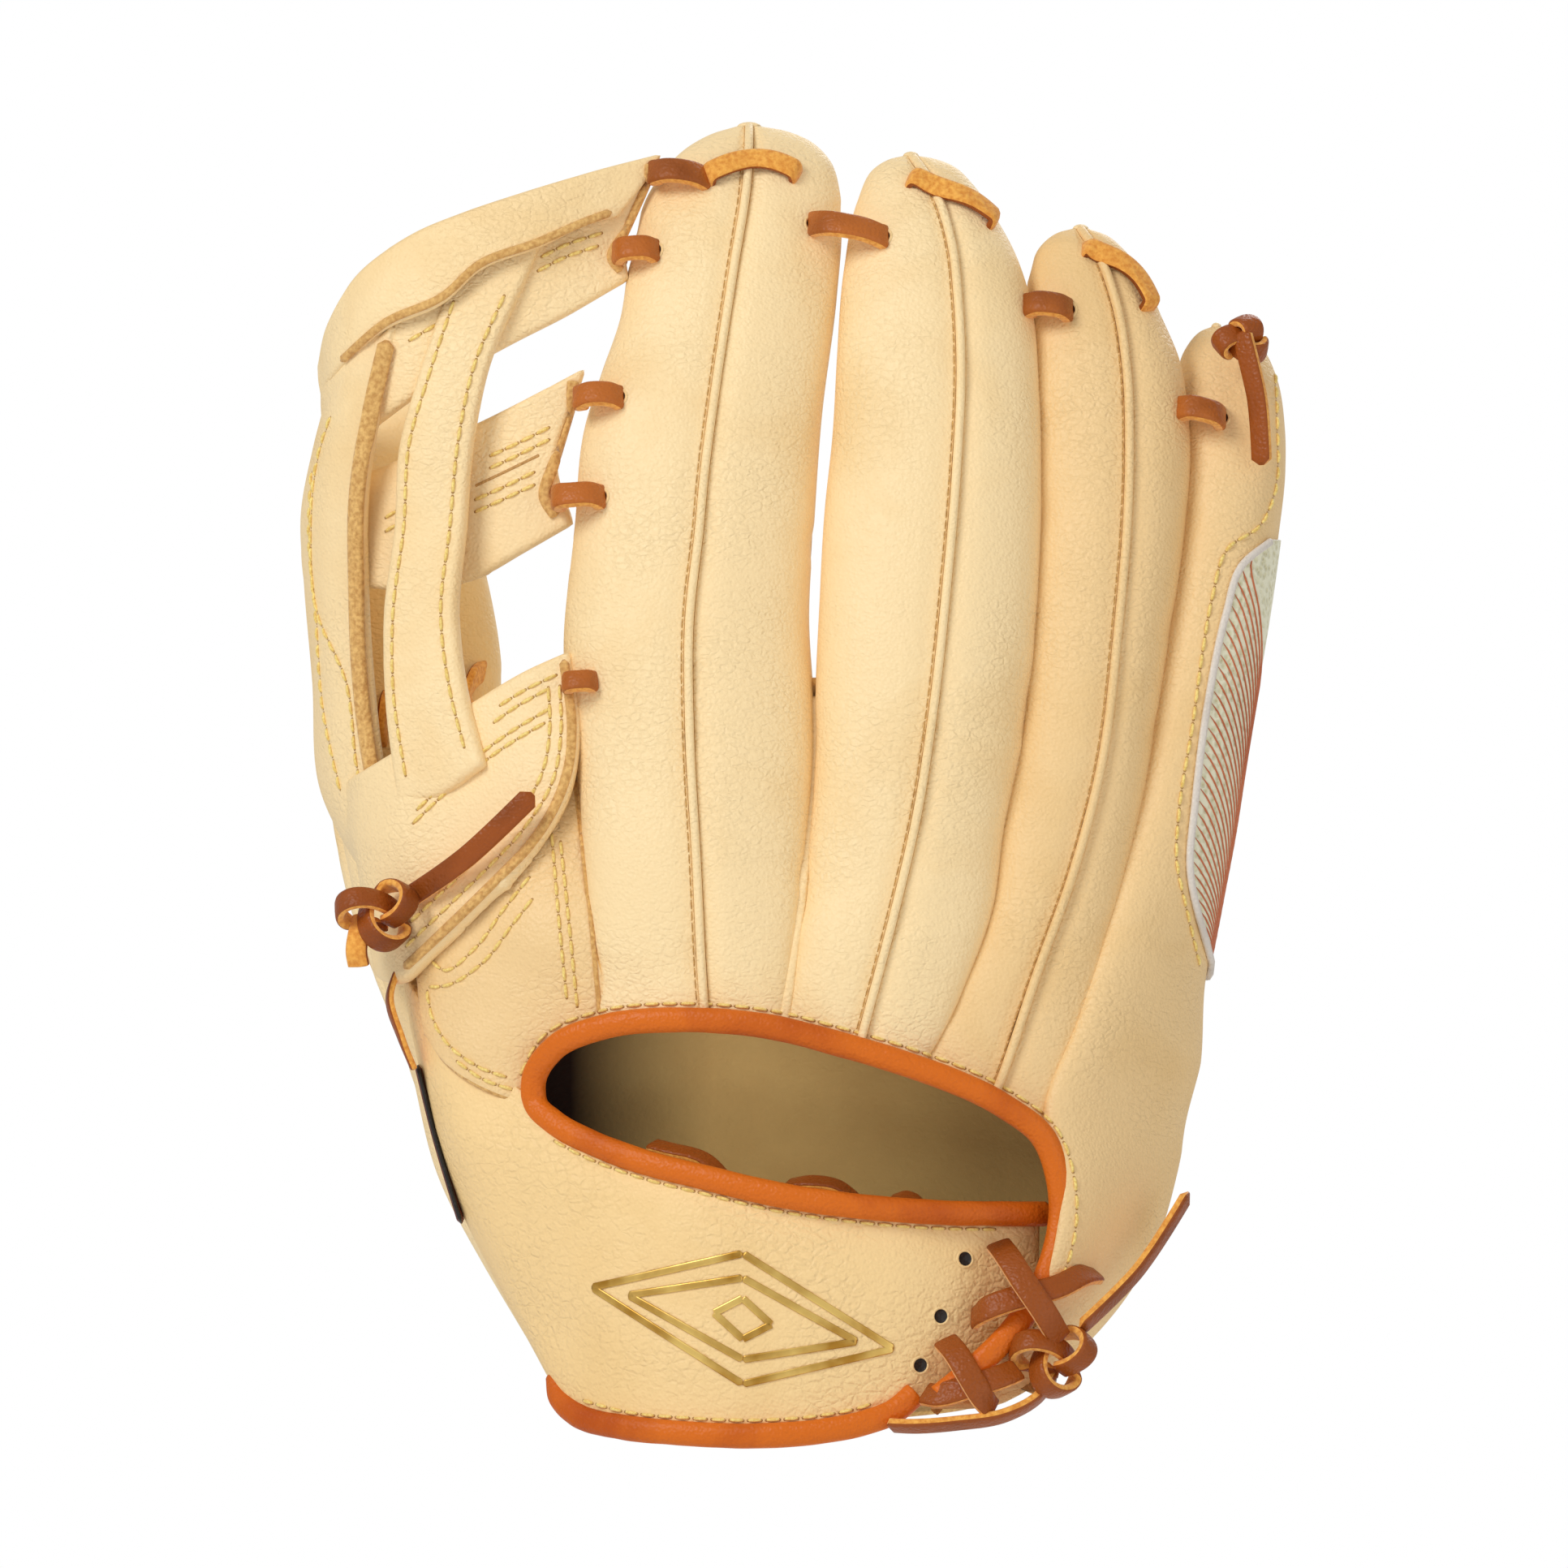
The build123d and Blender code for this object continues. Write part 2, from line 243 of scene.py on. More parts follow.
def felt_lining(name):
    """Soft lining, darkened with painted shade towards its right, towards its bottom and most at its
    left end.
    """
    n = Nodes(name, 0.85, sheen=0.1, glint=0.2)
    blotch = n.noise(40, 5)
    fine = n.noise(700, 3)
    stops = [(0, srgb(226, 188, 118)), (1, srgb(242, 206, 132))]
    colour = n.colours(n.spread(blotch, 0.3, 0.7), stops)
    across, height = n.axis(0), n.axis(2)
    # Painted shade: darker towards the right, towards the bottom and, darkest, at the left end.
    colour = n.mixed(n.spread(across, -0.01, 0.05, 0.0, 0.62), colour, srgb(120, 92, 46))
    colour = n.mixed(n.spread(height, 0.06, 0.09, 0.3, 0.0), colour, srgb(110, 84, 44))
    colour = n.mixed(n.spread(across, -0.055, -0.02, 1.0, 0.0), colour, srgb(32, 13, 3))
    return n.finish(colour, n.bump(fine, 0.0004, 0.8))


CREAM = leather("Cream_Leather", (254, 225, 172), (248, 214, 156))
# A darker copy of the cream leather, painted shade for the ring finger, the little finger's back and
# the thumb's back panel.
CREAM_PAINTED_SHADE = leather("Cream_Leather_Painted_Shade", (244, 208, 150), (237, 198, 136))
CREAM_SOFT = leather(
    "Cream_Leather_Strap", (251, 215, 153), (245, 207, 143), 1.35, pebble=(300, 300, 400)
)
BINDING = leather("Binding_Leather", (220, 110, 22), (184, 78, 8), 0.25, 0.42, glint=0.25)
LACE_GRAIN = leather("Lace_Grain", (156, 78, 22), (112, 52, 10), 0.4, 0.4, glint=0.3)
HOOP_GRAIN = leather("Lace_Grain_Worn", (190, 106, 40), (144, 74, 22), 0.4, 0.4, glint=0.3)
LACE_SUEDE = suede("Lace_Suede", (255, 188, 84), (222, 142, 48))
RAW_EDGE = suede("Raw_Edge", (240, 194, 118), (200, 148, 80), 1.2)
FLESH_SIDE = suede("Leather_Back", (222, 184, 124), (188, 146, 90))
THREAD = thread("Thread", (255, 230, 140), (232, 192, 98))
HOLE = thread("Needle_Hole", (206, 160, 92), (176, 128, 66))
WELT_THREAD = thread("Welt_Thread", (216, 172, 96), (176, 130, 62))
LINING = felt_lining("Hand_Lining")
MESH = woven_mesh("Panel_Mesh")
PIPING = leather("Piping", (226, 216, 204), (200, 188, 174), 0.4, 0.4)
RUST = leather("Rust_Trim", (206, 116, 74), (180, 92, 54), 0.4)
MAROON = leather("Patch_Face", (116, 44, 24), (88, 30, 14), 0.3)
DARK = leather("Patch_Edge", (40, 34, 30), (26, 22, 20), 0.2)


def gold_foil():
    n = Nodes("Gold_Foil", 0.34, metallic=0.75)
    surface_tone = n.noise(90, 3)
    colour = n.mixed(n.spread(surface_tone, 0.35, 0.65), srgb(186, 134, 46), srgb(246, 208, 118))
    return n.finish(colour, n.bump(surface_tone, 0.0001))


FOIL = gold_foil()

# ---------------------------------------------------------------- curves and sheets


def through(keys, values, at):
    """Smooth values through the given keys (cubic Hermite)."""
    keys, values, at = (np.asarray(a, float) for a in (keys, values, at))
    slopes = np.gradient(values, keys, axis=0)
    i = np.clip(np.searchsorted(keys, at) - 1, 0, len(keys) - 2)
    gap = keys[i + 1] - keys[i]
    t = (at - keys[i]) / gap
    if values.ndim > 1:
        t, gap = t[:, None], gap[:, None]
    first = (2 * t**3 - 3 * t**2 + 1) * values[i] + (t**3 - 2 * t**2 + t) * gap * slopes[i]
    second = (3 * t**2 - 2 * t**3) * values[i + 1] + (t**3 - t**2) * gap * slopes[i + 1]
    return first + second


def smooth(points, count):
    """A smooth line through points, evenly sampled."""
    points = np.asarray(points, float)
    if len(points) == 2:
        return points[0] + np.linspace(0, 1, count)[:, None] * (points[1] - points[0])
    along = np.r_[0, np.cumsum(np.linalg.norm(np.diff(points, axis=0), axis=1))]
    fine = through(along, points, np.linspace(0, along[-1], count * 4))
    lengths = np.r_[0, np.cumsum(np.linalg.norm(np.diff(fine, axis=0), axis=1))]
    even = np.linspace(0, lengths[-1], count)
    return np.stack([np.interp(even, lengths, fine[:, k]) for k in range(3)], axis=1)


def net(rows, across, along):
    """A smooth sheet through a net of control points: rows go up, columns across."""
    wide = np.array([smooth(row, across) for row in rows])
    return np.array([smooth(wide[:, i], along) for i in range(across)]).transpose(1, 0, 2)


def normals_of(grid):
    up, over = np.gradient(grid, axis=0), np.gradient(grid, axis=1)
    normal = np.cross(over, up)
    return normal / np.maximum(np.linalg.norm(normal, axis=2, keepdims=True), 1e-9)


def ripples(points, size, seed=0, count=7):
    """Smooth uneven values, mostly from -1 to 1, over points; the same every run."""
    rng = np.random.default_rng(seed)
    total = np.zeros(points.shape[:-1])
    for _ in range(count):
        wave = rng.normal(size=3) / size
        total += np.sin(points @ wave + rng.uniform(0, 2 * math.pi))
    return total / math.sqrt(count) * 0.8


def add_object(name, points, faces, materials, face_materials=None):
    mesh = bpy.data.meshes.new(name)
    mesh.from_pydata((np.asarray(points) * MM).tolist(), [], [tuple(f) for f in faces])
    for material in materials:
        mesh.materials.append(material)
    if face_materials is not None:
        mesh.polygons.foreach_set("material_index", np.asarray(face_materials, np.int32))
    mesh.polygons.foreach_set("use_smooth", [True] * len(mesh.polygons))
    mesh.update()
    piece = bpy.data.objects.new(name, mesh)
    scene.collection.objects.link(piece)
    return piece


def quads(rows, columns, start=0, around=False):
    """Faces of a grid; around closes each row."""
    wide = columns if around else columns - 1
    i, j = np.meshgrid(np.arange(rows - 1), np.arange(wide), indexing="ij")
    a = start + i * columns + j
    b = start + i * columns + (j + 1) % columns
    return np.stack([a, b, b + columns, a + columns], axis=-1).reshape(-1, 4)


def slab(name, grid, thickness, materials, edge=0.9, puff=0.0):
    """A sheet with thickness: face, back and a rounded rim of its own material.

    The grid is the outer face; edge rounds its border, puff swells its middle.
    """
    rows, columns = grid.shape[:2]
    normal = normals_of(grid)
    u = np.linspace(0, 1, columns)[None, :]
    v = np.linspace(0, 1, rows)[:, None]
    swell = np.sqrt(np.sqrt(np.clip(16 * u * (1 - u) * v * (1 - v), 0, 1)))
    face = grid + normal * (puff * swell)[..., None]
    middle = face - normal * thickness / 2
    back = face - normal * thickness
    ring = [(i, 0) for i in range(rows)] + [(rows - 1, j) for j in range(1, columns)]
    ring += [(i, columns - 1) for i in range(rows - 2, -1, -1)]
    ring += [(0, j) for j in range(columns - 2, 0, -1)]
    ring_i, ring_j = np.array(ring).T
    inner_i = np.clip(ring_i, 1, rows - 2)
    inner_j = np.clip(ring_j, 1, columns - 2)
    outward = middle[ring_i, ring_j] - middle[inner_i, inner_j]
    outward /= np.maximum(np.linalg.norm(outward, axis=1, keepdims=True), 1e-9)
    rims = []
    for share in (0.12, 0.5, 0.88):
        reach = edge * math.sin(math.pi * (0.18 + 0.64 * share))
        rims.append((face - normal * thickness * share)[ring_i, ring_j] + outward * reach)
    count = rows * columns
    points = np.concatenate([face.reshape(-1, 3), back.reshape(-1, 3), *rims])
    faces = [quads(rows, columns)]
    kinds = [np.zeros(len(faces[0]), int)]
    reverse = quads(rows, columns, count)[:, ::-1]
    faces.append(reverse)
    kinds.append(np.full(len(reverse), 2))
    front_ring = ring_i * columns + ring_j
    levels = [front_ring] + [2 * count + k * len(ring) + np.arange(len(ring)) for k in range(3)]
    levels.append(count + front_ring)
    for first, second in zip(levels, levels[1:]):
        strip = np.stack([first, second, np.roll(second, -1), np.roll(first, -1)], axis=1)
        faces.append(strip[:, ::-1])
        kinds.append(np.ones(len(strip), int))
    return add_object(name, points, np.concatenate(faces), materials, np.concatenate(kinds))


def frames_along(line, face):
    """Side and face directions at each point of a line."""
    tangent = np.gradient(line, axis=0)
    tangent /= np.maximum(np.linalg.norm(tangent, axis=1, keepdims=True), 1e-9)
    face = np.broadcast_to(np.asarray(face, float), line.shape)
    normal = face - (face * tangent).sum(1, keepdims=True) * tangent
    normal /= np.maximum(np.linalg.norm(normal, axis=1, keepdims=True), 1e-9)
    return np.cross(tangent, normal), normal


TAPER = 0.25  # size of a swept section's two ends


def sweep_section(line, face, section):
    """Points of a closed section carried along a line, drawn in at both ends."""
    side, normal = frames_along(line, face)
    ends = np.ones(len(line))
    ends[0], ends[-1] = TAPER, TAPER
    shape = section[None, :, :] * ends[:, None, None]
    return line[:, None, :] + shape[..., :1] * side[:, None] + shape[..., 1:] * normal[:, None]


def rounded(width, thickness, corner=3.2, count=16):
    """A flat strap's section: a squarish oval."""
    angle = np.linspace(0, 2 * math.pi, count, endpoint=False) + math.pi / count
    c, s = np.cos(angle), np.sin(angle)
    power = 2 / corner
    across = width / 2 * np.sign(c) * np.abs(c) ** power
    return np.stack([across, thickness / 2 * np.sign(s) * np.abs(s) ** power], axis=1)


def swept(name, line, face, section, materials, suede_up=False):
    """A strap, welt or binding: the side facing `face` has the first material."""
    points = sweep_section(line, face, section)
    rows, columns = points.shape[:2]
    faces = quads(rows, columns, around=True)
    middle = (section + np.roll(section, -1, axis=0)) / 2
    grain = (middle[:, 1] > 0.3 * section[:, 1].max()).astype(int)
    kind = np.tile(grain if suede_up else 1 - grain, rows - 1)
    caps = [tuple(range(columns))[::-1], tuple(range((rows - 1) * columns, rows * columns))]
    every = [tuple(f) for f in faces.tolist()] + caps
    if len(materials) == 1:
        kind = np.zeros_like(kind)
    return add_object(name, points.reshape(-1, 3), every, materials, [*kind, *[kind.max()] * 2])


# ---------------------------------------------------------------- what each piece rides on
THUMB_AXIS = (np.array([-50.0, 25, 20]), np.array([-108.0, 18, 300]))


def metres(point):
    return tuple(float(c) * MM for c in point)


def attach(piece, body, slot, *nodes):
    """Rides a named body; a blend (first, second, start, end) is only baked in place. Hides the CAD
    nodes it stands for.
    """
    if isinstance(body, str):
        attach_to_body(piece, body)
    else:
        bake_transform(piece)
    if nodes:
        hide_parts(*nodes)
    return piece


def fold_at(height, before, after):
    """The blend from the hand to the thumb at one height, across the fold line."""
    low, high = THUMB_AXIS
    middle = low + (high - low) * (height - low[2]) / (high[2] - low[2])
    across = np.array([-0.8, 0.6, 0])
    return ("hand", "thumb", middle - across * before, middle + across * after)


WEB_FOLD = fold_at(235, 16, 16)
BASE_FOLD = fold_at(150, 12, 16)
PANEL_FOLD = fold_at(90, 14, 20)
OUTER_FOLD = ("hand", "outer_fingers", (70, 0, 96), (70, 0, 150))
OUTER_PALM_FOLD = ("hand", "outer_fingers", (66, 30, 138), (98, 30, 162))

# ---------------------------------------------------------------- stitching
surfaces = {}


def remember(piece):
    """Keeps a piece's surface, to lay seams on."""
    mesh = piece.data
    surfaces[piece.name] = BVHTree.FromPolygons(
        [v.co for v in mesh.vertices], [tuple(p.vertices) for p in mesh.polygons]
    )
    return piece


def laid(points, names, way=(0, 1, 0), lift=0.0):
    """Drops points (x, height) onto the first named surface met from the front."""
    found, facing = [], []
    way = Vector(way)
    for x, height in points:
        start = Vector((x * MM, 0, height * MM)) - way * 0.5
        best = None
        for name in names:
            place, normal, _, far = surfaces[name].ray_cast(start, way)
            if place is not None and (best is None or far < best[2]):
                best = (place, normal, far)
        if best:
            normal = best[1] if best[1].dot(way) < 0 else -best[1]
            found.append(np.array(best[0]) / MM + np.array(normal) * lift)
            facing.append(np.array(normal))
    return np.array(found), np.array(facing)


def flat_smooth(points, count):
    line = smooth([(x, 0, z) for x, z in points], count)
    return line[:, [0, 2]]


STITCH = 3.1  # mm from hole to hole
STITCH_GAP = 1.2
THREAD_RADIUS = 0.42
THREAD_SIDES = 6


def stitch_mesh(line, facing, stitch=STITCH, gap=STITCH_GAP, radius=THREAD_RADIUS):
    """Threads along a line: each a short arched capsule between two needle holes."""
    lengths = np.r_[0, np.cumsum(np.linalg.norm(np.diff(line, axis=0), axis=1))]
    count = int(lengths[-1] / (stitch + gap))
    points, faces, kinds = [], [], []
    sides = THREAD_SIDES
    turn = np.linspace(0, 2 * math.pi, sides, endpoint=False)
    c, s = np.cos(turn)[:, None], np.sin(turn)[:, None]
    for k in range(count):
        starts = k * (stitch + gap) + gap / 2
        at = starts + stitch * np.array([-0.04, 0.08, 0.3, 0.5, 0.7, 0.92, 1.04])
        spot = np.stack([np.interp(at, lengths, line[:, c]) for c in range(3)], axis=1)
        up = np.array([np.interp(starts + stitch / 2, lengths, facing[:, c]) for c in range(3)])
        arch = radius * np.array([-0.9, 0.25, 0.7, 0.8, 0.7, 0.25, -0.9])
        spot = spot + up * arch[:, None]
        side, normal = frames_along(spot, up)
        size = radius * np.array([0.55, 0.95, 1.05, 1.05, 1.05, 0.95, 0.55])
        reach = size[:, None, None]
        ring = spot[:, None] + reach * c * side[:, None] + reach * s * normal[:, None]
        base = sum(len(p) for p in points)
        points.append(ring.reshape(-1, 3))
        body = quads(len(at), sides, base, around=True).tolist()
        last = base + (len(at) - 1) * sides
        ends = [list(range(base, base + sides))[::-1], list(range(last, last + sides))]
        faces += body + ends
        kinds += [0] * (len(body) + 2)
        for hole in (0, -1):
            centre = spot[hole] + up * radius * 0.98
            rim = centre + radius * (c * side[hole] + s * np.cross(up, side[hole]))
            base = sum(len(p) for p in points)
            points.append(np.concatenate([rim, rim - up * radius * 0.9]))
            wall = quads(2, sides, base, around=True)[:, ::-1].tolist()
            bottom = list(range(base + sides, base + 2 * sides))[::-1]
            faces += wall + [list(range(base, base + sides)), bottom]
            kinds += [1] * (len(wall) + 2)
    return points, faces, kinds


def seam(name, rows, body, threads=(THREAD, HOLE), **sizes):
    """One mesh of all the stitches in the given (line, facing) rows."""
    points, faces, kinds = [], [], []
    for line, facing in rows:
        if len(line) < 3:
            continue
        some, some_faces, some_kinds = stitch_mesh(line, facing, **sizes)
        base = sum(len(p) for p in points)
        points += some
        faces += [[i + base for i in f] for f in some_faces]
        kinds += some_kinds
    if not points:
        return None
    piece = add_object(name, np.concatenate(points), faces, threads, kinds)
    return attach(piece, body, "cream_leather")


def sewn(name, paths, names, body, count=60, way=(0, 1, 0), **sizes):
    seam(name, [laid(flat_smooth(p, count), names, way) for p in paths], body, **sizes)


def level(height):
    """A lower edge at one height all the way across."""
    return lambda across: np.full_like(across, height)


def beside(points, offset):
    """A line of (across, height) moved to its left by an offset."""
    line = flat_smooth(points, 240)
    way = np.gradient(line, axis=0)
    way /= np.linalg.norm(way, axis=1, keepdims=True)
    return line + offset * np.stack([-way[:, 1], way[:, 0]], axis=1)


def strip(name, points, names, body, slot, section, materials, lift=0.0, sink=0.0, count=60,
          suede_up=False, nodes=(), calm=1):
    """A strap or edge laid on surfaces along (across, height) points; sink buries its ends."""
    line, facing = laid(flat_smooth(points, count), names, lift=lift)
    if len(line) < 8:
        raise ValueError(f"{name}: nothing to lie on")
    buried = np.clip(1 - np.minimum(np.arange(len(line)), np.arange(len(line))[::-1]) / 4, 0, 1)
    for _ in range(calm):
        line[1:-1] = (line[:-2] + 2 * line[1:-1] + line[2:]) / 4
        facing[1:-1] = (facing[:-2] + 2 * facing[1:-1] + facing[2:]) / 4
    line = line - facing * (sink * buried**2)[:, None]
    piece = swept(name, line, facing, section, materials, suede_up)
    return attach(piece, body, slot, *nodes)


# ---------------------------------------------------------------- fingers
ROUND_ACROSS = 0.94  # powers that square a stall's oval a little
ROUND_BACK = 0.86
WELT_HALF = 1.25  # mm, half the gap that a welt stands in
LEATHER = 2.4  # mm thick
TIP_SIDES = 48


def outline(points):
    """A side of a shape: its place across at any height."""
    line = flat_smooth(points, 400)
    line = line[np.argsort(line[:, 1])]
    return lambda height: np.interp(height, line[:, 1], line[:, 0])


class Stall:
    """A finger or thumb of the glove.

    Its sides and welt are lines of (across, height); depths are rows of height, depth of
    the left side, depth of the right side, bulge of the back and bulge of the front.
    """

    def __init__(self, left, right, welt, depths):
        self.left, self.right = outline(left), outline(right)
        self.welt = outline(welt) if welt else None
        self.depths = np.array(depths, float)
        self.top = self.depths[-1, 0]

    def angle(self, across, height):
        left, right = self.left(height), self.right(height)
        share = np.clip((across - (left + right) / 2) / ((right - left) / 2), -1, 1)
        return np.degrees(np.arccos(np.sign(share) * np.abs(share) ** (1 / ROUND_ACROSS)))

    def place(self, height, angle):
        """Points at heights and angles: 180 is the left side, 90 the back, 0 the right."""
        height, angle = np.broadcast_arrays(height, np.radians(angle))
        left, right = self.left(height), self.right(height)
        keys = self.depths[:, 0]
        rows = through(keys, self.depths[:, 1:], np.clip(height.ravel(), keys[0], keys[-1]))
        near, far, back, front = np.moveaxis(rows.reshape(height.shape + (4,)), -1, 0)
        c, s = np.cos(angle), np.sin(angle)
        across = np.sign(c) * np.abs(c) ** ROUND_ACROSS
        bulge = np.where(s > 0, back * np.abs(s) ** ROUND_BACK, -front * np.abs(s))
        x = (left + right) / 2 + (right - left) / 2 * across
        y = (near + far) / 2 + (far - near) / 2 * across - bulge
        return np.stack([x, y, height], axis=-1)

    def grid(self, first, last, columns, rows, bottom):
        """The outer face between two angles, each a number or a function of height."""
        at = lambda edge, height: edge(height) if callable(edge) else edge
        across = np.linspace(0, 1, columns)[None, :]
        turned = lambda h: at(first, h) + (at(last, h) - at(first, h)) * across
        low = np.full((1, columns), 110.0)  # a first guess, put right by the rounds below
        for _ in range(4):
            low = bottom(self.place(low, turned(low))[..., 0])
        share = np.sin(np.linspace(0, math.pi / 2, rows))[:, None]
        height = low + (self.top - low) * share
        return self.place(height, turned(height))

    def beside_welt(self, side):
        return lambda height: self.angle(self.welt(height) + side * WELT_HALF, height)

    def ridge(self, angle, low, high, count):
        """A line up the stall with the directions it faces."""
        height = np.linspace(low, high, count)[:, None]
        middle = angle(height) if callable(angle) else np.full_like(height, angle)
        grid = self.place(height, middle + np.array([[4.0, 0.0, -4.0]]))
        return grid[:, 1], normals_of(grid)[:, 1]


FINGERS = {
    "Index": Stall(
        [(-47, 96), (-47.4, 105.6), (-49.6, 123.6), (-53.2, 163.6), (-56.6, 193.6), (-54, 227.4),
         (-51.4, 251.4), (-47.4, 264), (-42.6, 277.8), (-40.6, 289.8), (-35, 309), (-26.4, 319.4),
         (-20.6, 323), (-14, 325.2)],
        [(-4, 96), (-2.4, 105.8), (2.4, 141.6), (5, 169.6), (5, 181.6), (3.8, 203.6), (4.8, 225.6),
         (6.6, 253.4), (10.6, 283.2), (12, 300), (11.6, 309), (9.4, 316.4), (5.4, 320.8),
         (-1.2, 323.9), (-8, 325.2)],
        [(-21, 96), (-22, 107.4), (-24, 145.6), (-25.6, 175.6), (-25.6, 203.6), (-23.2, 225.6),
         (-22.2, 236.8), (-18.8, 263.2), (-14.8, 289.8), (-11.4, 313), (-11, 325.2)],
        [(90, -17, -27, 4, 9), (106, -20, -27, 5, 9), (125, -17, -22, 9, 9), (146, -12, -14, 14, 9),
         (170, -5, -6, 17.5, 9), (194, 0, 0, 18.5, 9), (227, 5, 5, 17.5, 9), (264, 12, 12, 16, 9),
         (290, 18, 18, 14, 8), (309, 23, 23, 11.5, 7), (318, 25, 25, 8.5, 6),
         (323, 26.5, 26.5, 5, 4), (325.2, 27, 27, 2, 2)],
    ),
    "Middle": Stall(
        [(-4, 96), (-2.4, 105.8), (2.4, 141.6), (5, 169.6), (5.2, 181.6), (6.2, 205), (7.4, 230),
         (9.6, 250), (10.9, 268), (12.6, 289.8), (15.6, 306.4), (19.4, 314.4), (23.6, 317),
         (27, 317.8)],
        [(28, 88), (33.4, 95.8), (43.4, 115.6), (49.4, 131.6), (52.4, 151.6), (57.4, 175.6),
         (61, 215.6), (61.4, 238.6), (61, 258.4), (58.2, 285.2), (55, 294), (50.2, 302.6),
         (44.6, 310.6), (40, 315), (34.5, 317.2), (31, 317.8)],
        [(14, 90), (17, 101.6), (24.4, 129.6), (30.4, 155.6), (34.4, 181.6), (37.6, 211),
         (40, 238.6), (41.2, 267), (40.6, 281.4), (38.8, 297), (34, 311), (29.4, 317.8)],
        [(84, -27, -27, 4, 9), (100, -27, -26, 5, 9), (120, -22, -20, 10, 9), (140, -14, -13, 15, 9),
         (176, -5, -5, 19.5, 9), (216, 0, 0, 18.5, 9), (258, 8, 8, 17, 9), (290, 16, 16, 14, 8),
         (306, 21, 21, 10.5, 7), (313, 23, 23, 7.5, 5), (316.4, 24, 24, 4.5, 4),
         (317.8, 24.4, 24.4, 2, 2)],
    ),
    "Ring": Stall(
        [(25.6, 86), (30.6, 95.8), (40.6, 115.6), (46.6, 131.6), (49, 151.6), (53.4, 175.6),
         (57, 215.6), (57.6, 238.6), (57.6, 258.4), (57.4, 275), (58.4, 289), (60.8, 295),
         (65, 298.6), (69, 299.8)],
        [(60, 72), (63, 80.8), (73.4, 105.6), (84.4, 145.6), (92.4, 195.6), (96.4, 225),
         (97.8, 246.6), (97, 257.6), (95.8, 265.6), (90.6, 279), (86.6, 288.4), (82, 294.6),
         (78, 298), (73, 299.8)],
        [(46, 78), (50.2, 88.2), (60.4, 117.6), (68.4, 139.6), (75.4, 165.6), (80, 201.6),
         (82.4, 230.6), (82.8, 246.6), (82.2, 265), (79.5, 282), (75, 294), (71, 299.8)],
        [(66, -26, -24, 3, 9), (88, -25, -22, 5, 9), (110, -20, -14, 9, 9), (136, -10, -5, 14, 9),
         (176, 1, 3, 17.5, 9), (216, 7, 8, 16.5, 9), (247, 12, 13, 15.5, 8), (266, 16, 17, 13.5, 8),
         (284, 20.5, 21, 10.5, 7), (293, 23, 23, 8, 5), (297.8, 24, 24, 4.8, 4),
         (299.8, 24.4, 24.4, 2, 2)],
    ),
    "Pinky": Stall(
        [(33, 9), (36, 12.5), (46, 21.5), (55, 31), (61.6, 42), (65, 56.6), (65.4, 66),
         (61.4, 80), (69.6, 105.6), (79.6, 145.6), (88.2, 195.6), (92, 225), (93.6, 246.6),
         (94.4, 260), (97, 270), (101, 274.6), (103.4, 275.6)],
        [(46, 9), (56, 12.5), (72.2, 25.2), (84.6, 40.4), (90.4, 52.2), (94.6, 66.2),
         (97.2, 78), (100.4, 91.6), (101.6, 113.6), (104.8, 132), (108.2, 150), (111.2, 169),
         (114.2, 187), (117.2, 205), (119.6, 222), (121.8, 240), (121.8, 250), (119.4, 264),
         (116, 270.6), (111, 274.4), (106, 275.6)],
        None,
        [(9, -38, -35, 1, 4), (25, -36, -14, 3, 12), (40, -33, -3, 6, 18), (56, -29.5, 2, 8, 20),
         (75, -26, 6, 9, 20), (95, -21, 10, 11, 16), (115, -13, 12, 13, 12), (136, -4, 14, 15, 9),
         (163, 7, 18, 18, 9), (202, 17, 21, 19, 9), (239, 24, 25, 17.5, 8), (258, 27, 28, 14, 7),
         (268, 29.5, 29.5, 9.5, 6), (273.4, 31, 31, 5.5, 4), (275.6, 31.4, 31.4, 2, 2)],
    ),
}
FINGER_BODY = {"Index": "hand", "Middle": "hand", "Ring": OUTER_FOLD, "Pinky": OUTER_FOLD}
# The rolled edge of the hand opening: across, depth, height. It starts at the strap's
# buckle end, runs along the strap's top, turns round the thumb end, crosses the back of
# the hand and comes down the little finger's flap.
STRAP_TOP = [
    (62, -20, 56.8), (50, -29, 57), (35.8, -34.4, 57.4), (16, -38.2, 59), (-3.6, -38.6, 61.8),
    (-20, -36, 65.6), (-37.6, -30.6, 70), (-50, -24.5, 74.6), (-58.8, -19, 79.2), (-63.6, -15, 84),
]
OPENING_EDGE = [
    (-64, -15, 88.6), (-59, -20, 97.4), (-46.6, -25.5, 102.8), (-27.2, -30, 104.6),
    (-5.6, -32, 102.8), (12, -32.5, 98.4), (28.6, -32.5, 93.4), (51.2, -31, 83.6),
    (60.8, -29, 76.2), (65, -28.6, 64.6), (65.2, -29.4, 54), (61.6, -32.4, 41.6),
    (55, -35.4, 30.4), (46, -38, 21), (35, -40, 12),
]
STRAP_BOTTOM = [
    (-58, -8, 16.4), (-57.4, -12, 12), (-53, -19, 7.4), (-42.6, -28.6, 4.8), (-25, -35.6, 3.2),
    (-7.6, -38.2, 2.8), (6, -38.4, 3.8), (17.4, -37.8, 6), (24.4, -36.6, 8.6), (30, -35, 13.2),
]
front = lambda points: [(x, z) for x, _, z in points]
OPENING_TOP = np.array([(-70, 82)] + front(OPENING_EDGE)[:9] + [(70, 60)])


def opening_top(across):
    return np.interp(across, *OPENING_TOP.T)


TUCK_REACH = 5.0  # mm from a seam


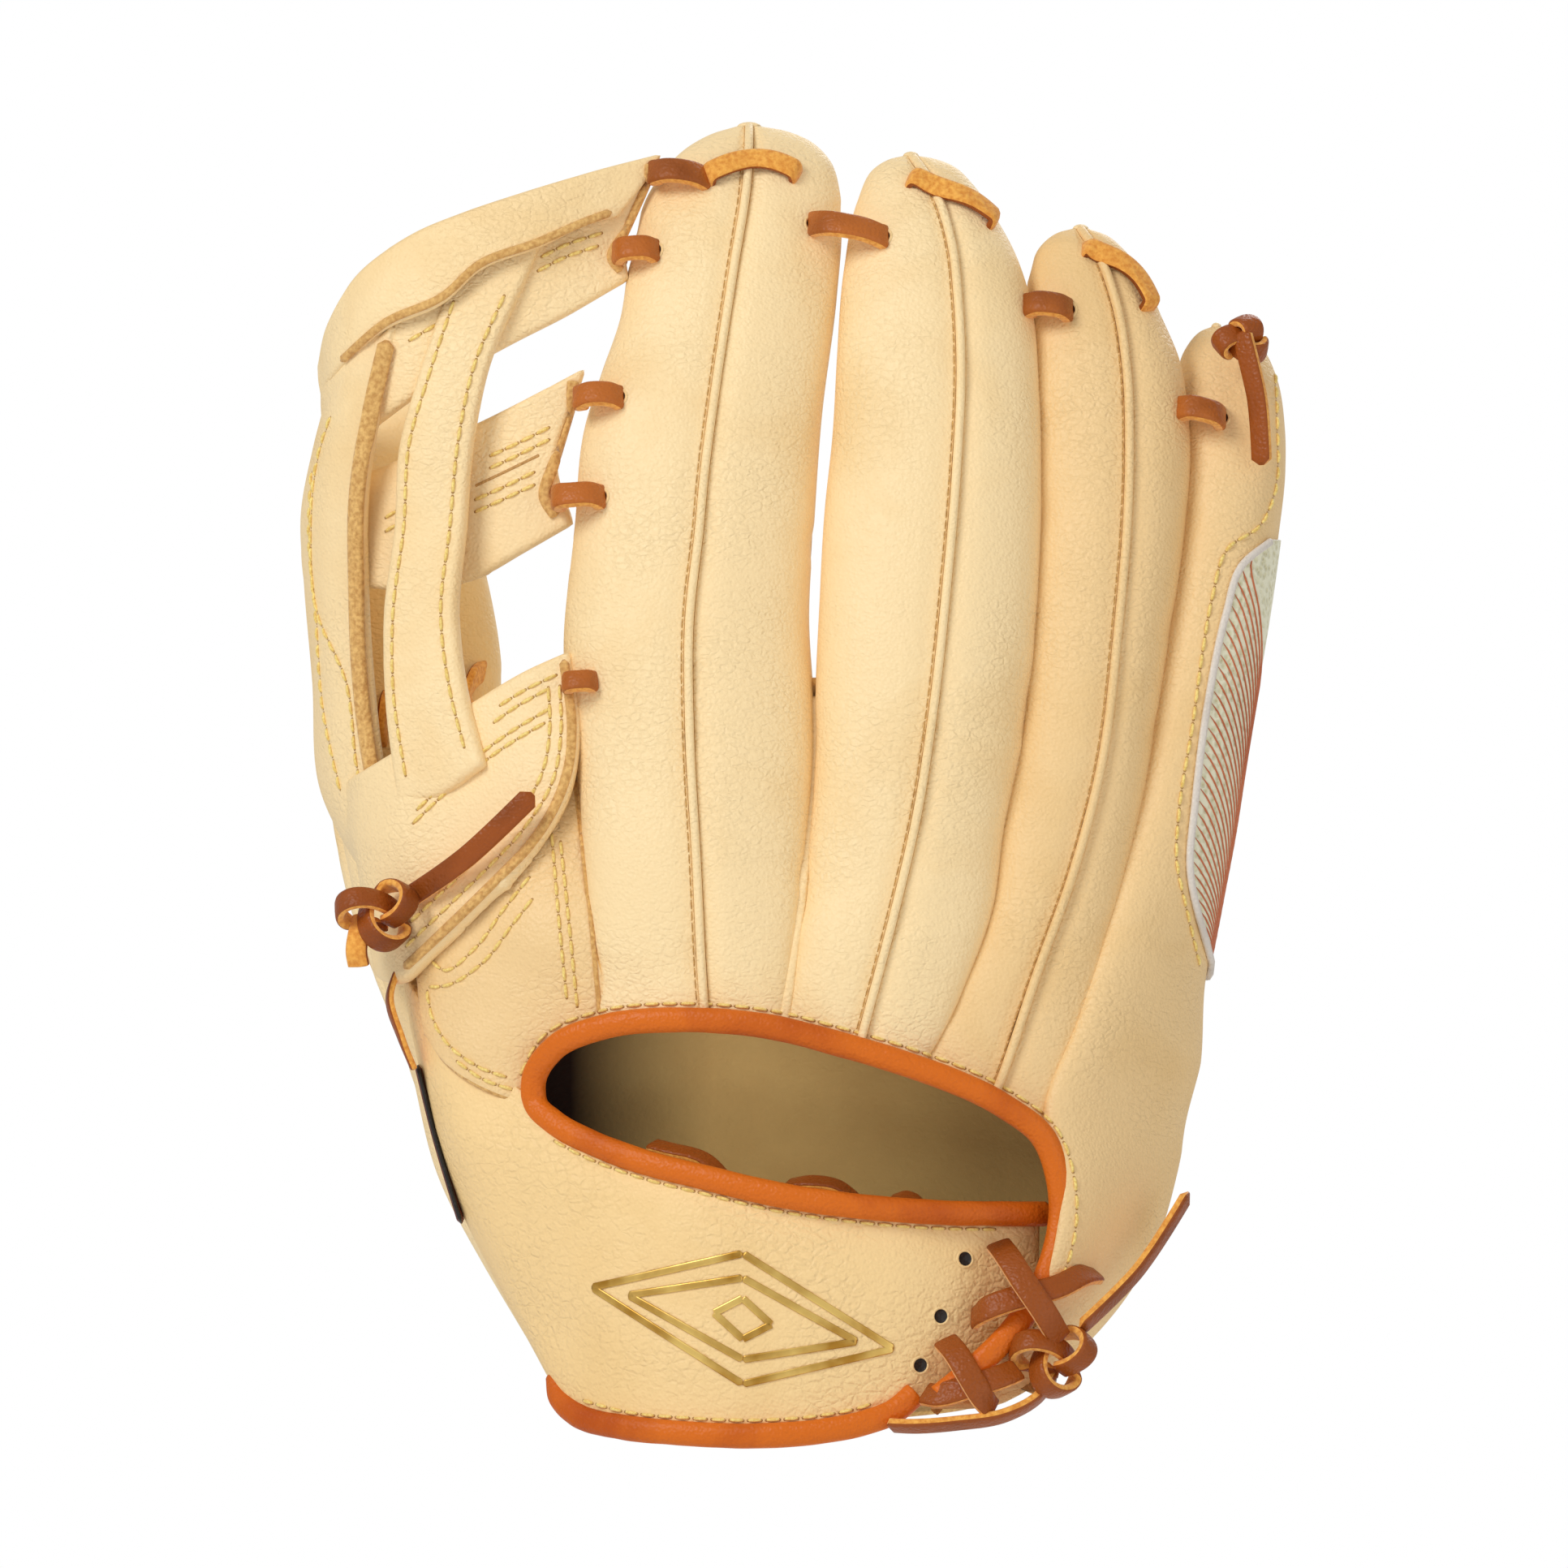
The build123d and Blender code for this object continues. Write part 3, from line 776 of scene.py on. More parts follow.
def tuck(grid, left, right):
    """Draws a padded panel's edges in towards its seams."""
    normal = normals_of(grid)
    middle = grid[len(grid) // 2]
    across = np.r_[0, np.cumsum(np.linalg.norm(np.diff(middle, axis=0), axis=1))]
    dip = left * np.exp(-2 * (across / TUCK_REACH) ** 2)
    dip += right * np.exp(-2 * ((across[-1] - across) / TUCK_REACH) ** 2)
    fade = np.clip(np.arange(len(grid))[::-1] / 24, 0, 1)
    return grid - normal * (fade[:, None] * dip[None, :])[..., None]


def creased(grid, seed, deep=0.45, size=(16, 16, 5.5), calm=0):
    """Presses soft horizontal creases and dents into a padded panel.

    The last `calm` rows, at a folded tip, fade to a smooth surface, and the creases are
    deeper near its base.
    """
    normal = normals_of(grid)
    waves = ripples(grid / np.array(size), 1.0, seed, 9)
    crease = -deep * np.clip(waves - 0.55, 0, 1) ** 0.8
    dents = 0.35 * ripples(grid / 22, 1.0, seed + 50, 6)
    fade = np.clip(np.arange(len(grid))[::-1] / calm, 0, 1) if calm else np.ones(len(grid))
    if calm:
        crease *= 1 + 1.8 * np.exp(-(grid[..., 2] - grid[0, :, 2]) / 20)
    return grid + normal * ((crease + dents) * fade[:, None])[..., None]


CREAM_SHEET = [CREAM, RAW_EDGE, FLESH_SIDE]
# The sheet in the darker cream: painted shade.
PAINTED_SHADE_SHEET = [CREAM_PAINTED_SHADE, RAW_EDGE, FLESH_SIDE]


def padded_panel(name, grid, seed, tucks, body, *nodes, sheet=CREAM_SHEET):
    grid = creased(tuck(grid, *tucks), seed, 0.6, calm=30)
    piece = slab(name, grid, LEATHER, sheet, edge=0.3)
    return remember(attach(piece, body, "cream_leather", *nodes))


def tip_ring(stall):
    return stall.place(stall.top, np.linspace(0, 360, TIP_SIDES, endpoint=False))


def tip_cap(name, stall, body):
    """Closes a stall over its tip."""
    ring = tip_ring(stall)
    centre = ring.mean(axis=0)
    rows = []
    for share in (1.03, 0.84, 0.5, 0.1):
        row = centre + (ring - centre) * share
        row[:, 2] += 1.2 * math.sqrt(max(1 - share**2, 0)) - 0.1
        rows.append(row)
    faces = quads(len(rows), TIP_SIDES, around=True).tolist()
    last = (len(rows) - 1) * TIP_SIDES
    faces += [list(range(last, last + TIP_SIDES)), list(range(TIP_SIDES))[::-1]]
    attach(add_object(f"{name}_Tip", np.concatenate(rows), faces, [CREAM]), body, "cream_leather")


def over_the_tip(stall, line, facing):
    """Carries a welt on over the top of its finger, down into the cap."""
    crown = tip_ring(stall).mean(axis=0) - (0, 0, 1.2)
    share = np.linspace(0.12, 1, 9)[:, None]
    over = line[-1] + share * (crown - line[-1])
    over[:, 2] += 0.5 * np.sin(share[:, 0] * math.pi * 0.6)
    turned = facing[-1] * (1 - share) + share * np.array([0, 0, 1.0])
    return np.concatenate([line[:-3], over]), np.concatenate([facing[:-3], turned])


def make_finger(name, seed):
    stall, body, lower = FINGERS[name], FINGER_BODY[name], name.lower()
    # The ring finger wears the darker cream, painted shade.
    sheet = PAINTED_SHADE_SHEET if name == "Ring" else CREAM_SHEET
    inner = stall.grid(184, stall.beside_welt(-1), 50, 210, opening_top)
    outer = stall.grid(stall.beside_welt(1), -4, 50, 210, opening_top)
    for side, grid, number, tucks in (
        ("Inner", inner, seed, (0.0, 0.9)), ("Outer", outer, seed + 1, (0.9, 0.0)),
    ):
        padded_panel(
            f"{name}_Back_{side}", grid, number, tucks, body, f"{lower}_back_{side.lower()}",
            sheet=sheet,
        )
    low = opening_top(stall.welt(100.0)) + 1.6
    line, facing = stall.ridge(stall.beside_welt(0), low, stall.top, 220)
    line, facing = over_the_tip(stall, line, facing)
    piece = swept(f"{name}_Welt", line - facing * 0.55, facing, rounded(2.2, 3.0, 2.4), sheet[:1])
    attach(piece, body, "cream_leather", f"{lower}_welt")


def make_front(name, seed):
    """The palm side of a finger and its tip cap; the panel also stands for the felt stay inside."""
    body = "outer_fingers" if name in ("Ring", "Pinky") else "hand"
    lower = name.lower()
    grid = FINGERS[name].grid(0, -180, 50, 110, level(150.0))
    padded_panel(f"{name}_Front", grid, seed + 2, (0.3, 0.3), body, f"{lower}_front", f"{lower}_stay")
    tip_cap(name, FINGERS[name], body)


for seed, finger_name in enumerate(["Index", "Middle", "Ring"]):
    make_finger(finger_name, seed * 10)
for seed, finger_name in enumerate(FINGERS):
    make_front(finger_name, seed * 10)
PINKY = FINGERS["Pinky"]
# The little finger's back in the darker cream, painted shade.
padded_panel(
    "Pinky_Back", PINKY.grid(184, -52, 120, 300, level(9.5)), 40, (0.0, 0.0), OUTER_FOLD,
    "pinky_back_inner", "pinky_flap", sheet=PAINTED_SHADE_SHEET,
)
BACKS = [f"{n}_Back_{s}" for n in ("Index", "Middle", "Ring") for s in ("Inner", "Outer")]
BACKS.append("Pinky_Back")
# The seam between the first two fingers, below where they part.
line, facing = FINGERS["Index"].ridge(5.0, 102, 184, 70)
piece = swept("Index_Middle_Welt", line + facing * 0.2, facing, rounded(2.4, 3.0, 2.4), [CREAM])
attach(piece, "hand", "cream_leather")


# The woven panel on the little finger's side, with its piping and trim.
MESH_EDGE = outline([
    (103.4, 113.6), (96.8, 143), (98, 156), (101.6, 183.4), (106, 204.6), (109.6, 216),
    (117.4, 222.8),
])
MESH_END = -46  # degrees round the finger
TRIM_LINES = 36
TRIM_GAP = 3.0


def mesh_place(height, share, lift=0.0):
    first = PINKY.angle(MESH_EDGE(height), height)
    grid = PINKY.place(height, first + (MESH_END - first) * share)
    out = grid - PINKY.place(height, 90) - np.array([-8.0, 14, 0])
    out[..., 2] = 0
    out /= np.linalg.norm(out, axis=-1, keepdims=True)
    return grid + out * lift


heights = np.linspace(114, 222.6, 110)[:, None]
panel_grid = mesh_place(heights, np.linspace(0, 1, 36)[None, :], 0.9)
mesh_panel = slab("Little_Finger_Panel", panel_grid, 1.4, [MESH, PIPING, FLESH_SIDE], edge=0.2)
attach(mesh_panel, OUTER_FOLD, "mesh", "pinky_side_panel")
edge_heights = np.r_[np.linspace(114, 216, 70), np.linspace(216.6, 222.6, 16)]
edge_line = mesh_place(edge_heights, 0.0, 1.0)
piece = swept("Little_Finger_Piping", edge_line, (0.3, -1, 0), rounded(1.9, 1.5, 2.2), [PIPING])
attach(piece, OUTER_FOLD, "piping", "pinky_welt")


def trim_lines():
    """Thin curved rust threads across the woven panel, fading in towards its edge."""
    points, faces = [], []
    section = rounded(0.5, 0.3, 2, 6)
    for k in range(TRIM_LINES):
        top = 219 - TRIM_GAP * k
        share = np.linspace(0.03, 0.8, 16)
        height = top - 62 * share**1.25
        keep = height > 114.5
        if keep.sum() < 4:
            continue
        line = mesh_place(height[keep], share[keep], 1.05)
        some = sweep_section(line, np.array([0.6, -1, 0]), section)
        base = sum(len(p) for p in points)
        points.append(some.reshape(-1, 3))
        faces += quads(some.shape[0], some.shape[1], base, around=True).tolist()
    piece = add_object("Little_Finger_Trim", np.concatenate(points), faces, [RUST])
    attach(piece, OUTER_FOLD, "mesh")


trim_lines()
sewn("Little_Finger_Stitches", [
    [(119, 264), (119.4, 252.8), (118, 232), (115.4, 226.6), (107, 220.4), (103.2, 208.6),
     (101, 196.6), (98.2, 176.8), (94.8, 155.6), (94.2, 143.6), (96.8, 131), (100.2, 117)],
], ["Pinky_Back"], OUTER_FOLD, 200)

# ---------------------------------------------------------------- wrist and heel
STRAP_NET = [
    [(-62, 14, 21), (-61, 4, 18), (-60, -5, 15.5), (-56.4, -14, 10), (-44, -27, 5), (-22, -35, 3.4),
     (-4, -37, 3), (16, -36.5, 5.6), (27, -35, 9), (36, -32, 15), (48, -27, 24), (60, -21, 33)],
    [(-73, 20, 42), (-72.6, 8, 39), (-67.4, -4, 34), (-59, -14, 30), (-45, -27, 26), (-22, -36.5, 22),
     (-4, -38.5, 21), (16, -38, 22.5), (27, -36.5, 25), (36, -33.5, 28.5), (48, -27.5, 34),
     (60, -20.5, 40)],
    [(-84, 24, 66), (-83.4, 10, 61), (-77, -4, 57), (-64, -15, 52), (-45, -28, 47), (-22, -36.5, 43),
     (-4, -38.5, 41), (16, -38, 41.5), (27, -36.5, 42.5), (36, -33.5, 44), (48, -27.5, 46),
     (60, -20, 49)],
    [(-92, 26, 92), (-91, 10, 87), (-85, -5, 82), (-69, -15, 73), (-48, -27, 64), (-24, -35.5, 57.5),
     (-4, -37.5, 53), (16, -37, 51.5), (27, -35.5, 51), (36, -32.5, 51), (48, -27, 51.6),
     (60, -20, 53)],
    [(-97, 27, 120), (-95.6, 11, 116), (-88, -3, 103), (-70, -13.5, 89), (-50, -24, 76),
     (-26, -33.5, 68),
     (-4, -36.5, 63), (16, -36, 60.5), (27, -34.5, 59), (36, -31.5, 58), (48, -26.5, 57.4),
     (60, -19.5, 57)],
]


def leather_sheet(name, grid, crease, thickness, sheet, body, *nodes, puff=0.0):
    """A leather piece through a grid; crease is what `creased` takes after the grid."""
    piece = slab(name, creased(grid, *crease), thickness, sheet, puff=puff)
    return remember(attach(piece, body, "cream_leather", *nodes))


leather_sheet(
    "Wrist_Strap", net(STRAP_NET, 200, 120), (71, 0.5, (14, 14, 8)), 3.2,
    [CREAM_SOFT, RAW_EDGE, LINING], PANEL_FOLD, "wrist_strap", "strap_lining", puff=0.8,
)
# Across from the little finger's side to the middle of the hand, and on to the thumb.
OUTER_PALM_NET = [
    [(62, 8, 22), (66, 24, 19), (48, 42, 9), (20, 47, 5)],
    [(84, 12, 42), (80, 32, 42), (52, 47, 36), (20, 50, 34)],
    [(92, 15, 68), (86, 34, 66), (55, 46, 64), (20, 48, 64)],
    [(98, 18, 98), (88, 33, 98), (55, 40, 98), (20, 43, 98)],
    [(105, 20, 140), (90, 30, 142), (62, 28, 142), (24, 27, 142)],
    [(108, 20, 164), (94, 18, 166), (68, 13, 166), (26, 13, 166)],
    [(109, 15, 184), (96, 9, 186), (70, 1, 186), (28, -2, 188)],
]
PALM_NET = [
    [(20, 47, 5), (-8, 46, 5), (-34, 43, 8), (-54, 38, 13), (-65, 18, 23)],
    [(20, 50, 34), (-8, 49, 34), (-36, 46, 34), (-62, 46, 38), (-76, 26, 50)],
    [(20, 48, 64), (-8, 47, 64), (-36, 45, 64), (-68, 52, 66), (-87, 34, 72)],
    [(20, 43, 98), (-8, 41, 98), (-36, 38, 98), (-66, 54, 98), (-95, 44, 98)],
    [(24, 27, 142), (-8, 25, 142), (-36, 24, 142), (-62, 40, 140), (-84, 66, 138)],
    [(26, 13, 166), (-7, 12, 166), (-35, 15, 165), (-60, 32, 162), (-81, 63, 160)],
    [(28, -2, 188), (-6, -2, 188), (-34, 2, 186), (-54, 12, 182), (-76, 44, 178)],
]
PALM_FOLD = fold_at(110, 18, 22)
PALM_CREASES = (30, 30, 9)
leather_sheet(
    "Outer_Palm_Leather", net(OUTER_PALM_NET, 80, 130), (91, 0.8, PALM_CREASES), 2.6, CREAM_SHEET,
    OUTER_PALM_FOLD, "outer_palm_leather", "heel_pad",
)
leather_sheet(
    "Palm_Leather", net(PALM_NET, 120, 130), (92, 0.8, PALM_CREASES), 2.6, CREAM_SHEET,
    PALM_FOLD, "palm_leather", "heel_leather", "thumb_heel_pad",
)

LINING_NET = [
    [(-58, 6, 36), (-30, 16, 32), (0, 20, 30), (40, 16, 30), (68, 0, 32)],
    [(-64, 0, 78), (-34, 4, 76), (2, 4, 74), (44, 0, 70), (72, -12, 62)],
    [(-64, -10, 104), (-30, -13, 112), (0, -16, 112), (36, -16, 106), (70, -18, 88)],
]
felt = creased(net(LINING_NET, 70, 60), 95, 0.15, (12, 12, 12))
lining = slab("Hand_Lining", felt, 1.6, [LINING] * 3)
remember(attach(lining, "hand", "lining", "hand_lining"))

# ---------------------------------------------------------------- thumb side
PANEL_NET = [
    [(-66, -13, 84), (-68, -13.6, 84.6), (-78, -11.6, 88.6), (-86, -6, 94), (-91, 0, 101)],
    [(-61.5, -14.5, 95), (-70, -13.6, 95.4), (-79, -11, 97.4), (-87, -5, 101.4), (-92, 1, 106)],
    [(-46.4, -21, 104), (-60, -16.5, 105), (-75, -11.6, 106), (-87, -4, 109), (-92.6, 2, 112)],
    [(-49.4, -20, 124), (-62, -17, 125), (-77, -9, 126), (-89, -1, 126), (-94, 4, 126)],
    [(-52.4, -12.5, 146), (-64, -9, 148), (-78, -3, 146), (-90, 4, 142), (-96, 8, 140)],
    [(-55, -4, 168), (-66, -1, 168), (-80, 4, 162), (-92, 8, 155), (-98, 13, 152)],
]
# The thumb's back panel in the darker cream, painted shade.
leather_sheet(
    "Thumb_Back_Panel", net(PANEL_NET, 80, 120)[:, ::-1], (61, 0.45), 2.2, PAINTED_SHADE_SHEET, PANEL_FOLD,
    "thumb_panel", puff=0.4,
)
SIDE_NET = [
    [(-62, 12, 21), (-65, 22, 24), (-58, 31, 24)],
    [(-73, 18, 42), (-77, 28, 44), (-66, 42, 46)],
    [(-83, 22, 64), (-88, 34, 66), (-77, 51, 68)],
    [(-91, 24, 90), (-95, 38, 92), (-88, 57, 94)],
    [(-99, 24, 132), (-108, 42, 132), (-106, 56, 130)],
    [(-105, 29, 170), (-115, 46, 168), (-114, 62, 166)],
]
leather_sheet(
    "Thumb_Side_Leather", net(SIDE_NET, 40, 110)[:, ::-1], (63, 0.4), 2.4, CREAM_SHEET, "thumb",
    "thumb_heel_leather", puff=0.4,
)

THUMB = Stall(
    [(-70, 44), (-80, 62), (-92, 82), (-98, 98), (-110, 130), (-117, 170), (-119, 205),
     (-116, 232), (-110, 248), (-104, 256), (-98, 259)],
    [(-60, 44), (-58, 62), (-57, 82), (-58, 98), (-66, 130), (-71, 170), (-73.6, 200),
     (-78.2, 222), (-84, 244), (-90, 256), (-95, 259)],
    None,
    [(44, 34, 38, 3, 3), (62, 38, 42, 7, 6), (82, 44, 47, 12, 11), (98, 49, 51, 13, 12),
     (130, 58, 58, 14, 13), (170, 64, 64, 14, 13), (205, 68, 68, 13, 12), (232, 71, 71, 12, 11),
     (248, 73, 73, 9, 8), (256, 74, 74, 5, 4.5), (259, 74, 74, 2, 2)],
)
for number, side, start, nodes in (
    (65, "Front", 180, ["thumb_front", "thumb_stay"]), (66, "Back", 0, ["thumb_back"]),
):
    half = THUMB.grid(start, start - 180, 60, 160, level(45.0))
    padded_panel(f"Thumb_{side}", half, number, (0.3, 0.3), "thumb", *nodes)
tip_cap("Thumb", THUMB, "thumb")

# ---------------------------------------------------------------- the H web
WEB_THICK = 3.6  # mm: a folded or doubled piece
TOP_BAR_NET = [
    [(-41.5, 13, 287.6), (-56, 10, 279), (-68, 9.5, 272.8), (-78, 9.5, 267.5), (-92, 11, 260),
     (-104, 17, 252), (-112, 30, 247), (-115, 46, 243), (-113, 58, 240)],
    [(-42.4, 14.5, 296), (-55, 11.5, 292), (-68, 10, 288), (-80, 10, 283), (-94, 12, 276),
     (-107, 18, 268), (-115, 32, 258), (-117, 47, 252), (-115, 58, 248)],
    [(-34, 17, 316.6), (-54.6, 13.5, 311), (-68, 12, 306.8), (-82, 12, 302), (-94, 13.5, 297),
     (-107, 19, 288), (-114.5, 31, 276), (-117, 46, 264), (-115, 58, 256)],
]
TOP_FOLD_NET = [
    [(-43.6, 12.6, 302.8), (-49.4, 10.4, 301.4), (-63.2, 5.6, 295.4), (-77.8, 4.4, 289.8),
     (-86.4, 5.6, 282.2), (-101, 11.5, 275.6), (-113, 24, 265.5), (-117, 40, 259)],
    [(-38.5, 13.6, 309.5), (-50, 11.4, 307), (-65, 7.4, 301.5), (-79, 6.4, 296), (-90, 8, 290),
     (-104, 13, 282), (-113.6, 25, 271), (-117.6, 41, 262)],
    [(-33.6, 15.4, 317.4), (-54.6, 11.4, 311.8), (-68, 9.6, 307.6), (-82, 9.6, 302.8),
     (-94, 11.4, 297.8),
     (-107, 17, 288.8), (-115, 29, 277), (-118, 44, 266)],
]
MIDDLE_BAR_NET = [
    [(-55.6, 7.5, 227), (-67, 9, 220.5), (-79, 12, 214), (-92, 16.5, 211), (-108, 25, 212)],
    [(-59.4, 8.5, 240), (-67, 9.5, 236), (-80, 12.5, 231), (-93, 17, 226), (-108, 26, 224)],
    [(-52.6, 9.5, 264), (-64, 10.5, 258), (-79, 13.5, 250.6), (-93, 17.5, 244), (-108, 27, 238)],
]
INNER_POST_NET = [
    [(-97.5, 3, 158.6), (-88, -2.5, 160), (-77.8, -8, 167.6)],
    [(-100.6, 5.5, 182), (-91, 0.5, 182), (-81.4, -3.5, 182.6)],
    [(-101, 7, 205), (-92.5, 3.5, 205), (-84, 0.5, 204.4)],
    [(-98.4, 8.5, 225.6), (-90, 5.5, 225.6), (-81.8, 3.5, 225.6)],
    [(-97, 8.4, 246.6), (-88.6, 5.4, 246), (-79.6, 4, 248)],
    [(-92.4, 8.4, 263.2), (-84, 5.8, 264), (-76, 5, 265)],
    [(-85.2, 9.4, 284.6), (-75, 7.6, 286), (-66.6, 7, 287.6)],
    [(-82, 9.8, 294), (-72, 8.4, 297), (-61.4, 8.2, 300)],
]
OUTER_POST_NET = [
    [(-99, 13, 146), (-103, 20, 140), (-105, 33, 138), (-106, 48, 138)],
    [(-103.6, 17, 164.6), (-111.6, 26, 162), (-116.6, 38, 162), (-116, 60, 162)],
    [(-106.8, 19.5, 188), (-115, 29, 188), (-119, 43, 188), (-118.5, 64, 188)],
    [(-108, 20.5, 212), (-116.5, 30, 212), (-121, 44, 212), (-120, 66, 212)],
    [(-107.8, 17, 234), (-117, 27.5, 232), (-122, 43, 230), (-120, 64, 228)],
    [(-104.4, 13.5, 255), (-113.4, 22.6, 250), (-119, 38, 246), (-118, 58, 240)],
    [(-99.6, 12.4, 275), (-108.5, 19.6, 268), (-115, 33, 260), (-116, 52, 252)],
]
BASE_NET = [
    [(-72, -14.5, 138.6), (-78, -12.5, 133), (-87.4, -7.5, 123.6), (-97, 0, 114.6),
     (-103, 14, 115), (-103, 30, 118)],
    [(-56.4, -14.5, 160), (-67, -12.5, 154), (-82, -6.5, 146), (-98, 2, 140), (-106, 15, 138),
     (-107, 32, 138)],
    [(-53.8, -12.5, 175), (-64, -10.5, 171), (-80, -4, 163), (-98, 3.5, 157), (-107, 15, 153),
     (-112, 32, 152)],
    [(-56, -8.5, 194.2), (-66, -6, 189.8), (-80, -1, 181.6), (-97, 5, 171), (-107, 14, 165),
     (-113, 32, 162)],
]


def web_piece(name, rows, size, body, seed, thickness, *nodes, puff=0.5, flip=True):
    grid = creased(net(rows, *size), seed, 0.3)
    if flip:
        grid = grid[:, ::-1]
    piece = slab(name, grid, thickness, [CREAM] * 3, edge=1.0, puff=puff)
    return remember(attach(piece, body, "cream_leather", *nodes))


WEB_PARTS = ("Top_Bar", "Top_Bar_Fold", "Middle_Bar", "Inner_Post", "Outer_Post", "Base")
WEB = [f"Web_{part}" for part in WEB_PARTS]
TOP_BAR, TOP_FOLD, MIDDLE_BAR, INNER_POST, OUTER_POST, BASE = WEB
web_piece(
    TOP_BAR, TOP_BAR_NET, (130, 44), WEB_FOLD, 31, WEB_THICK, "web_top_bar", "web_top_bar_outer"
)
web_piece(TOP_FOLD, TOP_FOLD_NET, (130, 40), WEB_FOLD, 36, 1.8, puff=0.3)
web_piece(
    MIDDLE_BAR, MIDDLE_BAR_NET, (80, 50), WEB_FOLD, 32, WEB_THICK, "web_middle_bar",
    "web_middle_bar_outer",
)
web_piece(
    INNER_POST, INNER_POST_NET, (30, 150), "hand", 33, WEB_THICK, "web_inner_post", puff=0.9, flip=False
)
web_piece(OUTER_POST, OUTER_POST_NET, (60, 140), "thumb", 34, 3.4, "web_outer_post")
web_piece(BASE, BASE_NET, (90, 70), BASE_FOLD, 35, WEB_THICK, "web_base", "web_base_outer")


def raw_edge(name, points, names, body, width, thickness=1.6, lift=0.1, material=RAW_EDGE):
    """A cut leather edge showing its golden inside."""
    return strip(name, points, names, body, "cream_leather", rounded(width, thickness, 2.6, 12),
                 [material], lift, count=90)


raw_edge("Outer_Post_Raw_Edge", [
    (-100.4, 272), (-104.4, 254.6), (-107.8, 233.4), (-108, 212), (-107, 187.8), (-103.8, 164.6),
    (-99.8, 149),
], [OUTER_POST], "thumb", 4.4, 2.4, 0.4)
raw_edge("Middle_Bar_Raw_End", [
    (-54.4, 262), (-55.6, 252), (-59.6, 240.4), (-61.4, 233), (-58.6, 228.4),
], [MIDDLE_BAR], "hand", 3.0, 1.8, 0.2)
raw_edge("Top_Bar_Raw_End", [(-35.6, 315.6), (-37, 307), (-42, 298.4), (-45, 292), (-42.6, 289)],
         [TOP_BAR, TOP_FOLD], "hand", 2.4, 1.6, 0.2)
raw_edge("Top_Bar_Fold_Edge", [
    (-45, 303.6), (-49.4, 302), (-63.2, 296), (-77.8, 290.4), (-86.4, 282.8), (-101, 276.2),
    (-112, 267),
], [TOP_FOLD], WEB_FOLD, 2.1, 1.6, 0.0)
raw_edge("Base_Raw_Edge", [
    (-56.6, 193), (-54.6, 176), (-55.2, 167.6), (-57.4, 160), (-65.4, 146.8), (-72, 140),
    (-88, 124.4), (-96, 117),
], [BASE], BASE_FOLD, 2.5, 2.2, 0.0)
raw_edge("Index_Panel_Seam", [(-53.4, 163), (-50.4, 134), (-47.6, 106)],
         ["Thumb_Back_Panel", "Index_Back_Inner"], "hand", 1.2, 1.2, 0.2)
raw_edge("Middle_Bar_Slit", [(-78.6, 236), (-71, 239.6), (-62.8, 243.6)], [MIDDLE_BAR], "hand",
         0.7, 0.5, 0.0, HOLE)

# ---------------------------------------------------------------- rolled bindings
BINDING_SECTION = rounded(6.2, 5.2, 2.3, 20)


def binding(name, points, count, facing, *nodes):
    line = smooth(points, count)
    piece = swept(name, line, facing, BINDING_SECTION, [BINDING])
    wrinkle_binding(piece, name)
    return remember(attach(piece, "hand", "binding", *nodes))


def wrinkle_binding(piece, name):
    """Small cross wrinkles in rolled leather."""
    mesh = piece.data
    count = len(mesh.vertices)
    points = np.zeros(count * 3)
    mesh.vertices.foreach_get("co", points)
    points = points.reshape(-1, 3)
    normal = np.zeros(count * 3)
    mesh.vertices.foreach_get("normal", normal)
    shift = ripples(points / MM / 3.2, 1.0, len(name), 8)[:, None] * 0.06 * MM
    mesh.vertices.foreach_set("co", (points + normal.reshape(-1, 3) * shift).ravel())
    mesh.update()


binding("Opening_Binding", STRAP_TOP + OPENING_EDGE, 520, (0, -1, 0.05), "opening_binding",
        "strap_top_binding")
binding("Strap_Bottom_Binding", STRAP_BOTTOM, 200, (0, -1, 0), "strap_bottom_binding")

# ---------------------------------------------------------------- seams
FINE_SEWN = {"threads": [WELT_THREAD, HOLE], "stitch": 1.9, "gap": 0.9, "radius": 0.15}
GOLD_SEWN = {"stitch": 3.0, "gap": 1.5}
AROUND = BACKS + ["Thumb_Back_Panel"]


def welt_stitches(name):
    """Fine tight stitches along the thumb side of a finger's welt."""
    stall = FINGERS[name]
    start = float(opening_top(stall.welt(100.0))) + 5
    row = [(stall.welt(h) - 1.75, h) for h in np.linspace(start, stall.top - 8, 24)]
    halves = [f"{name}_Back_Inner", f"{name}_Back_Outer"]
    sewn(f"{name}_Welt_Stitches", [row], halves, FINGER_BODY[name], 200, **FINE_SEWN)


for finger_name in ("Index", "Middle", "Ring"):
    welt_stitches(finger_name)
opening_row = beside(front(OPENING_EDGE)[:13], 3.9)
sewn("Opening_Stitches", [opening_row], AROUND, OUTER_FOLD, 240, **GOLD_SEWN)
for end, row, count in (
    ("Top", beside(front(STRAP_TOP)[1:9], 3.9), 200),
    ("Bottom", beside(front(STRAP_BOTTOM)[2:9], 3.8), 160),
):
    sewn(f"Strap_{end}_Stitches", [row], ["Wrist_Strap"], "hand", count, **GOLD_SEWN)
sewn("Web_Base_Stitches", [
    [(-57.6, 187), (-57.2, 176), (-59, 164), (-67, 150.6), (-74, 143), (-89, 128.6), (-97, 121)],
    [(-60.4, 186.6), (-60, 176), (-61.6, 166), (-69, 153.4), (-76, 146), (-91, 131.6), (-98, 125)],
    [(-58, 189.4), (-66, 185.6), (-75, 180)],
    [(-60, 186), (-68, 181.6), (-76, 176)],
    [(-60, 181), (-70, 175), (-82, 166), (-94, 155)],
    [(-61, 177.6), (-71, 171.6), (-83, 162.6), (-95, 151.6)],
], [BASE], BASE_FOLD, 90)
